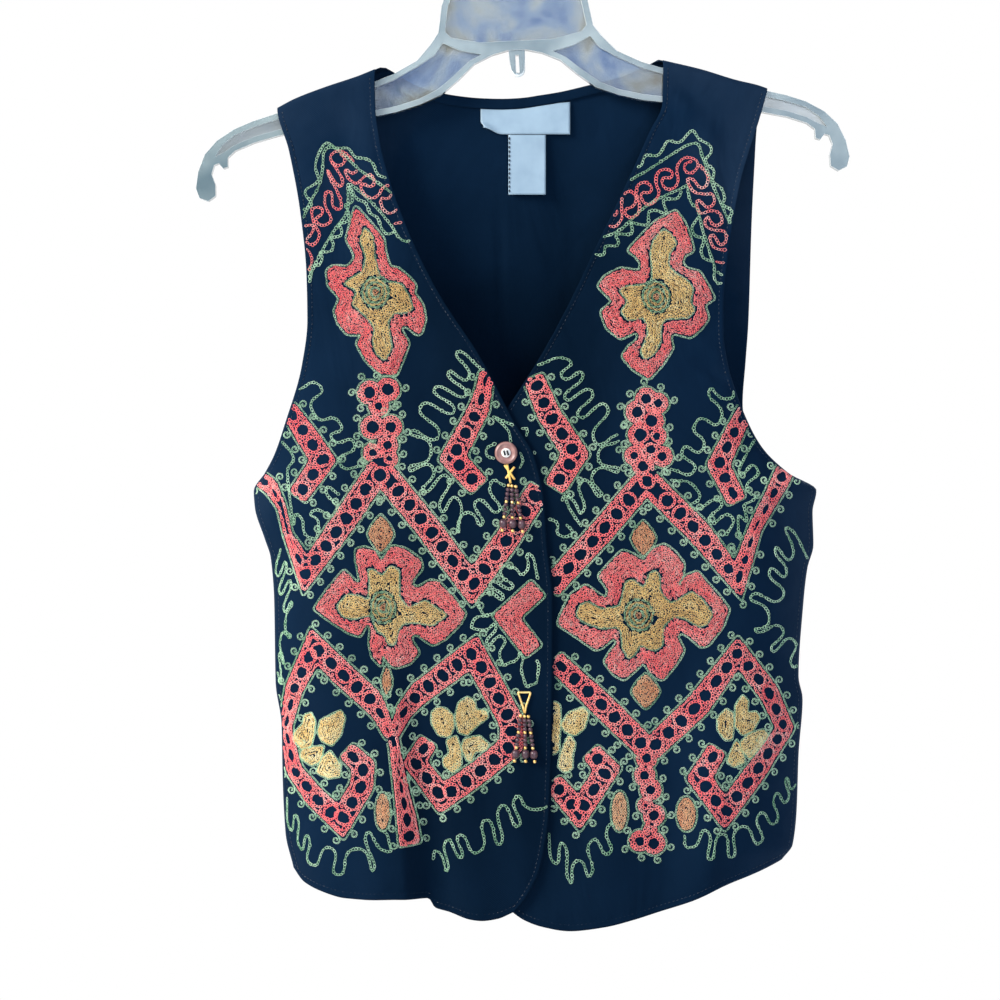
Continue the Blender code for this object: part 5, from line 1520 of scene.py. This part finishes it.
def tubes_piece(name, paths, radius, material, sides=8, closed=False):
    """Round bars along several paths as one piece; open ones taper to a closed tip at both ends."""
    points = []
    faces = []
    start = 0
    for path in paths:
        path = np.asarray(path, dtype=float)
        if closed:
            ring = tube_points(np.concatenate([path[-1:], path, path[:1]]), radius, sides)[1:-1]
        else:
            path = np.concatenate([path[:1], path, path[-1:]])
            path[0] -= (path[2] - path[1]) * TIP_STEP
            path[-1] += (path[-2] - path[-3]) * TIP_STEP
            radii = np.full(len(path), float(radius))
            radii[[0, -1]] = radius * TIP_RADIUS
            ring = tube_points(path, radii, sides)
        index = np.arange(len(ring) * sides).reshape(len(ring), sides) + start
        head = index if closed else index[:-1]
        tail = np.roll(index, -1, axis=0) if closed else index[1:]
        around = [head, np.roll(head, -1, 1), np.roll(tail, -1, 1), tail]
        faces.append(np.stack(around, axis=-1).reshape(-1, 4))
        if not closed:
            odd = np.arange(1, sides - 2, 2)
            fan = np.stack([np.zeros_like(odd), odd, odd + 1, odd + 2], axis=-1)
            faces += [index[0][fan], index[-1][::-1][fan]]
        points.append(ring.reshape(-1, 3))
        start += len(ring) * sides
    made = piece_from(name, np.concatenate(points), np.concatenate(faces), material)
    face_out(made)
    return made


def make_cloth():
    """Both fronts and the back as fine shells, each in the place of its solid."""
    outside = cotton_cloth()
    down = spread(180, (Crowd(0.49, 0.05, 0.6), Crowd(1.0, 0.03, 1.2)))
    across = spread(76, (Crowd(0.0, 0.05, 1.6), Crowd(0.46, 0.16, 0.8), Crowd(1.0, 0.05, 1.6)))
    right = panel_piece("right_front_cloth", RIGHT_FRONT, right_front_depth, -1, across, down, outside)
    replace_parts(right, "right_front")
    left = panel_piece("left_front_cloth", LEFT_FRONT, left_front_depth, -1, across, down, outside)
    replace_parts(left, "left_front")
    down = spread(160, (Crowd(0.49, 0.05, 0.6), Crowd(1.0, 0.03, 1.2)))
    across = spread(100, (Crowd(0.0, 0.04, 1.2), Crowd(1.0, 0.04, 1.2)))
    back = panel_piece("back_cloth", BACK, back_depth, 1, across, down, outside)
    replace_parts(back, "back")
    return outside


def make_trims(cloth):
    """The turned band along the back neck, the bare neck label and the bare care tag."""
    x, _, down = patch(*BAND_ENDS, 90, 7)
    level = line_level(BACK.top, x) + EDGE_INSET + BAND_WIDTH * down
    band = trim_piece("back_neck_band_cloth", x, level, BAND_SWELL * np.sin(down * np.pi), cloth)
    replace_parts(band, "back_neck_band")
    satin = satin_ribbon()
    x, across, down = patch(LABEL.left, LABEL.right, 40, 14)
    rise = LABEL_TOP_RISE * across
    top = np.maximum(LABEL.top - rise, line_level(BACK.top, x) + BAND_WIDTH + 2 * EDGE_INSET)
    curl = ease((down - 0.45) / 0.55) * ease((LABEL_CORNER - across) / LABEL_CORNER)
    level = top + (LABEL.bottom - top) * down - LABEL_CURL * curl
    x = x + LABEL_CURL_ASIDE * curl
    lift = LABEL_CURL_LIFT * curl + LABEL_LIFT * down
    label = trim_piece("neck_label_satin", x, level, lift, satin)
    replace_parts(label, "neck_label")
    x, across, down = patch(CARE_TAG.left, CARE_TAG.right, 20, 30)
    level = CARE_TAG.top + (CARE_TAG.bottom - CARE_TAG.top) * down
    lift = TAG_LIFT * down ** 2 + TAG_BOW * np.sin(across * np.pi) * down
    tag = trim_piece("care_tag_satin", x, level, lift, satin)
    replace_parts(tag, "care_tag")
    beside_edge = np.full(60, CARE_TAG.left + TAG_STITCH_INSET)
    edge = np.stack([beside_edge, np.linspace(CARE_TAG.top + 1, CARE_TAG.bottom - 1, 60)], axis=1)

    def tag_face(x, level):
        share = (level - CARE_TAG.top) / (CARE_TAG.bottom - CARE_TAG.top)
        return -on_back_inside(x, level, SEAM_GAP + TRIM_CLOTH * 0.8 + TAG_LIFT * share ** 2)[:, 1]

    rows = [(stations(tag_face, edge, DASH.pitch), BARTACK)]
    stitch_piece("care_tag_edge_stitches", rows, tag_face, dark_thread(),
                 np.random.default_rng(SEED))


def make_hanger():
    """The hanger's moulding with its edges rounded as a mould rounds them."""
    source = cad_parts["hanger"]
    mesh = source.data.copy()
    mesh.transform(source.matrix_world)
    work = bmesh.new()
    work.from_mesh(mesh)
    bmesh.ops.remove_doubles(work, verts=work.verts, dist=0.00001)
    bmesh.ops.dissolve_limit(work, angle_limit=0.02, verts=work.verts, edges=work.edges)
    work.to_mesh(mesh)
    work.free()
    mesh.materials.clear()
    for material in (hanger_rim(), painted_highlight_plastic(), hanger_web()):
        mesh.materials.append(material)
    depth = np.array([face.center.y for face in mesh.polygons])
    mesh.polygons.foreach_set("material_index", np.where(np.abs(depth) < HANGER_WEB * MM, 2, 0))
    made = bpy.data.objects.new("hanger_moulding", mesh)
    bpy.context.scene.collection.objects.link(made)
    bevel = made.modifiers.new("mould_rounding", "BEVEL")
    bevel.width = MOULD_ROUNDING * MM
    bevel.segments = 2
    bevel.limit_method = "ANGLE"
    bevel.angle_limit = 0.6
    # The bevel's faces take the near-white plastic: a painted highlight along every rounded edge
    bevel.material = 1
    mesh.shade_smooth()
    mesh.set_sharp_from_angle(angle=0.9)
    weighted = made.modifiers.new("flat_faces", "WEIGHTED_NORMAL")
    weighted.weight = 80
    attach(made, "root")
    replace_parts(made, "hanger")
    peg = HANGER_PEG
    turn = np.linspace(0.0, np.pi, 13)
    bend_x = peg.x + peg.half * np.cos(turn)
    bend_level = peg.level + peg.half * np.sin(turn)
    bend = np.stack([bend_x, 0 * turn, -bend_level], axis=1)
    legs = [(peg.x + side * peg.half, 0.0, -(peg.level - peg.height)) for side in (1, -1)]
    path = np.concatenate([legs[:1], bend, legs[1:]])
    # The peg is made of the same near-white plastic as the painted edge highlights
    tubes_piece("hanger_peg", [path], peg.bar, painted_highlight_plastic())


def topstitch(sewn):
    """Topstitching of one front: a row beside each of its edges and one above the hem."""
    level = np.linspace(*TOPSTITCH_LEVELS)
    for edge, side in ((sewn.panel.left, 1), (sewn.panel.right, -1)):
        x = along(edge, level, "x") + side * TOPSTITCH_INSET
        sewn.sew("navy", np.stack([x, level], axis=1), DASH)
    x = np.linspace(*TOPSTITCH_ACROSS)
    hem = line_level(sewn.panel.hem, x) - HEM_WIDTH - HEM_ROW_APART
    sewn.sew("navy", np.stack([x, hem], axis=1), DASH)


def make_embroidery():
    """All the chain stitch: two fronts, one piece for each colour of thread on each."""
    rng = np.random.default_rng(SEED)
    right = Embroidery(RIGHT_FRONT, right_front_depth, None)
    left = Embroidery(LEFT_FRONT, left_front_depth, RIGHT_FRONT.right)
    for sewn, bands, stem in ((right, RIGHT_BANDS, RIGHT_STEM), (left, LEFT_BANDS, LEFT_STEM)):
        for number, corners in enumerate(bands):
            sewn.band(corners, bands[:number] + bands[number + 1:], stem)
        sewn.stem(stem, bands)
    right.fill("coral", mitred(SOLID_CHEVRON, 0.0))
    right.sew("green", mitred(SOLID_CHEVRON, 0.9), EDGE, closed=True)
    right.medallion(RIGHT_UPPER_MEDALLION, RIGHT_UPPER_HEART, RIGHT_DISCS[0])
    right.medallion(RIGHT_MIDDLE_MEDALLION, RIGHT_MIDDLE_HEART, RIGHT_DISCS[1])
    left.medallion(LEFT_UPPER_MEDALLION, LEFT_UPPER_HEART, LEFT_DISCS[0])
    left.medallion(LEFT_MIDDLE_MEDALLION, LEFT_MIDDLE_HEART, LEFT_DISCS[1])
    for sewn, buds, ovals, petals, loops, green, scrolls in (
            (right, RIGHT_BUDS, RIGHT_OVALS, RIGHT_PETALS, RIGHT_LOOPS, RIGHT_GREEN_LINES, RIGHT_SCROLLS),
            (left, LEFT_BUDS, LEFT_OVALS, LEFT_PETALS, LEFT_LOOPS, LEFT_GREEN_LINES, LEFT_SCROLLS)):
        for place in buds:
            sewn.bud(pointed(*place), FILL)
        for place in ovals:
            sewn.bud(circle(*place), PETAL)
        for corners in petals:
            sewn.petal(corners)
        sewn.sew_all("green", [curve(tips, LOOP_PULL) for tips in loops])
        sewn.sew_all("green", [curve(points, LINE_PULL) for points in green])
        sewn.sew_all("coral", [curve(points, LINE_PULL) for points in scrolls])
    for sewn in (right, left):
        topstitch(sewn)
    threads = {colour: thread_material(name, shades) for colour, (name, _, shades) in THREADS.items()}
    for front, sewn in (("right", right), ("left", left)):
        for colour, rows in sewn.rows.items():
            stitch_piece(f"{front}_{colour}_stitches", rows, sewn.depth_at, threads[colour],
                         rng)


def make_stage():
    """A plain pale floor below the hem."""
    mesh = bpy.data.meshes.new("floor")
    corners = [(FLOOR_HALF * x, FLOOR_HALF * y, FLOOR_LEVEL) for x, y in ((-1, -1), (1, -1), (1, 1), (-1, 1))]
    mesh.from_pydata(corners, [], [(0, 1, 2, 3)])
    mesh.materials.append(new_material("pale_studio_floor", Roughness=0.9, Base_Color=linear("#f4f4f2"))[0])
    floor = bpy.data.objects.new("floor", mesh)
    bpy.context.scene.collection.objects.link(floor)


def make_light(name, place, aim, size, power, colour):
    """A soft square lamp that faces a point."""
    lamp = bpy.data.lights.new(name, "AREA")
    lamp.shape = "SQUARE"
    lamp.size = size
    lamp.energy = power
    lamp.color = linear(colour)[:3]
    made = bpy.data.objects.new(name, lamp)
    made.location = place
    made.rotation_euler = (Vector(aim) - Vector(place)).to_track_quat("-Z", "Y").to_euler()
    bpy.context.scene.collection.objects.link(made)


def make_camera():
    """The photograph's view: straight on, at the height of the vest's middle."""
    lens = bpy.data.cameras.new("camera")
    lens.sensor_width = SENSOR
    lens.lens = SENSOR * CAMERA_AWAY / VIEW_WIDTH
    camera = bpy.data.objects.new("camera", lens)
    camera.location = (VIEW_MIDDLE[0], VIEW_MIDDLE[1] - CAMERA_AWAY, VIEW_MIDDLE[2])
    camera.rotation_euler = (np.pi / 2, 0.0, 0.0)
    bpy.context.scene.collection.objects.link(camera)
    bpy.context.scene.camera = camera


def make_world():
    """A studio: a bright white wall behind the vest, a dimmer blue-grey room round the viewer."""
    scene = bpy.context.scene
    scene.view_settings.view_transform = "Standard"
    world = bpy.data.worlds.new("studio")
    scene.world = world
    world.use_nodes = True
    tree = world.node_tree
    background = tree.nodes["Background"]
    place = node(tree, "ShaderNodeTexCoord")
    split = node(tree, "ShaderNodeSeparateXYZ", Vector=place.outputs["Generated"])
    height = maths(tree, "MULTIPLY_ADD", split.outputs["Z"], 0.5, 0.5)
    room = ramp(tree, height, [(0.0, "#6c675c"), (0.42, "#a7a9a6"), (0.6, "#bcc4cb"), (0.75, "#93a9c0"),
                               (1.0, "#8aa6c6")])
    behind = ramp(tree, split.outputs["Y"], [(0.80, "#000000"), (0.93, "#ffffff")])
    sky = node(tree, "ShaderNodeMixRGB", {"Color2": linear("#ffffff")}, Fac=behind.outputs["Color"],
               Color1=room.outputs["Color"])
    tree.links.new(sky.outputs["Color"], background.inputs["Color"])
    background.inputs["Strength"].default_value = 1.0


def on_front(x, level, stand_off):
    """Points at a distance in front of the right front's plain face."""
    return np.stack([x, -(right_front_plain(x, level) + stand_off), -level], axis=-1)


def make_button():
    """The button's own solid, with a white disc at its middle and two bars of thread."""
    x, level = BUTTON_PLACE
    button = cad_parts["button"]
    button.data.materials.clear()
    button.data.materials.append(button_resin())
    corners = np.array([button.matrix_world @ corner.co for corner in button.data.vertices]) / MM
    near = np.hypot(corners[:, 0] - x, corners[:, 2] + level) < BUTTON_DISC
    face = corners[near, 1].min() if near.any() else corners[:, 1].min()
    steps = [(x, face + out, -level) for out in (0.2, -0.1, -0.3)]
    tubes_piece("button_disc", [steps], BUTTON_DISC, white_resin(), sides=28)
    bars = [[(x + side - 0.5, face - 0.45, -level + 1.6), (x + side, face - 0.55, -level),
             (x + side + 0.5, face - 0.45, -level - 1.6)] for side in (-THREAD_APART, THREAD_APART)]
    tubes_piece("button_thread", bars, BUTTON_THREAD, dark_thread())


def make_tie():
    """Three wraps of gold thread between the button and the upper tassel."""
    share = np.linspace(0.0, 1.0, 9)
    paths = []
    for start, end in TIE_WRAPS:
        x = start[0] + (end[0] - start[0]) * share
        level = start[1] + (end[1] - start[1]) * share
        paths.append(on_front(x, level, 1.0 + TIE_LIFT * np.sin(share * np.pi)))
    thread = thread_material("gold_tassel_thread", TIE_SHADES)
    tubes_piece("upper_tassel_thread", paths, TIE_THREAD, thread)


def make_tassel(name, strands, glass, gilt):
    """Strands of glass beads with gilt ones between them, and a barrel near each lower end."""
    dark = []
    gold = []
    for strand in strands:
        for kind, down in STRAND_BEADS:
            x = np.array([strand.x + strand.lean * (down / strand.length)])
            place = on_front(x, np.array([strand.top + down]), BEAD_SIZES["barrel"][0] + SEAM_GAP)[0]
            (gold if kind == "gold" else dark).append((*place, *BEAD_SIZES[kind]))
    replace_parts(bead_piece(f"{name}_beads", dark, glass), name)
    bead_piece(f"{name}_gilt_beads", gold, gilt)


def make_bail(gilt):
    """The wire triangle that holds the lower tassel."""
    corners = np.array(BAIL_CORNERS + BAIL_CORNERS[:1])
    wire = softened(dense(corners, 0.5)[:-1], 2, closed=True)
    path = on_front(wire[:, 0], wire[:, 1], BAIL_WIRE + SEAM_GAP)
    bail = tubes_piece("bail_wire", [path], BAIL_WIRE, gilt, closed=True)
    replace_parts(bail, "bail")


make_camera()
make_world()
make_stage()
for lamp in LAMPS:
    make_light(*lamp)
cloth = make_cloth()
make_trims(cloth)
make_hanger()
make_button()
make_tie()
glass = bead_glass()
gilt = gilt_metal()
make_tassel("upper_tassel", UPPER_TASSEL, glass, gilt)
make_tassel("lower_tassel", LOWER_TASSEL, glass, gilt)
make_bail(gilt)
make_embroidery()
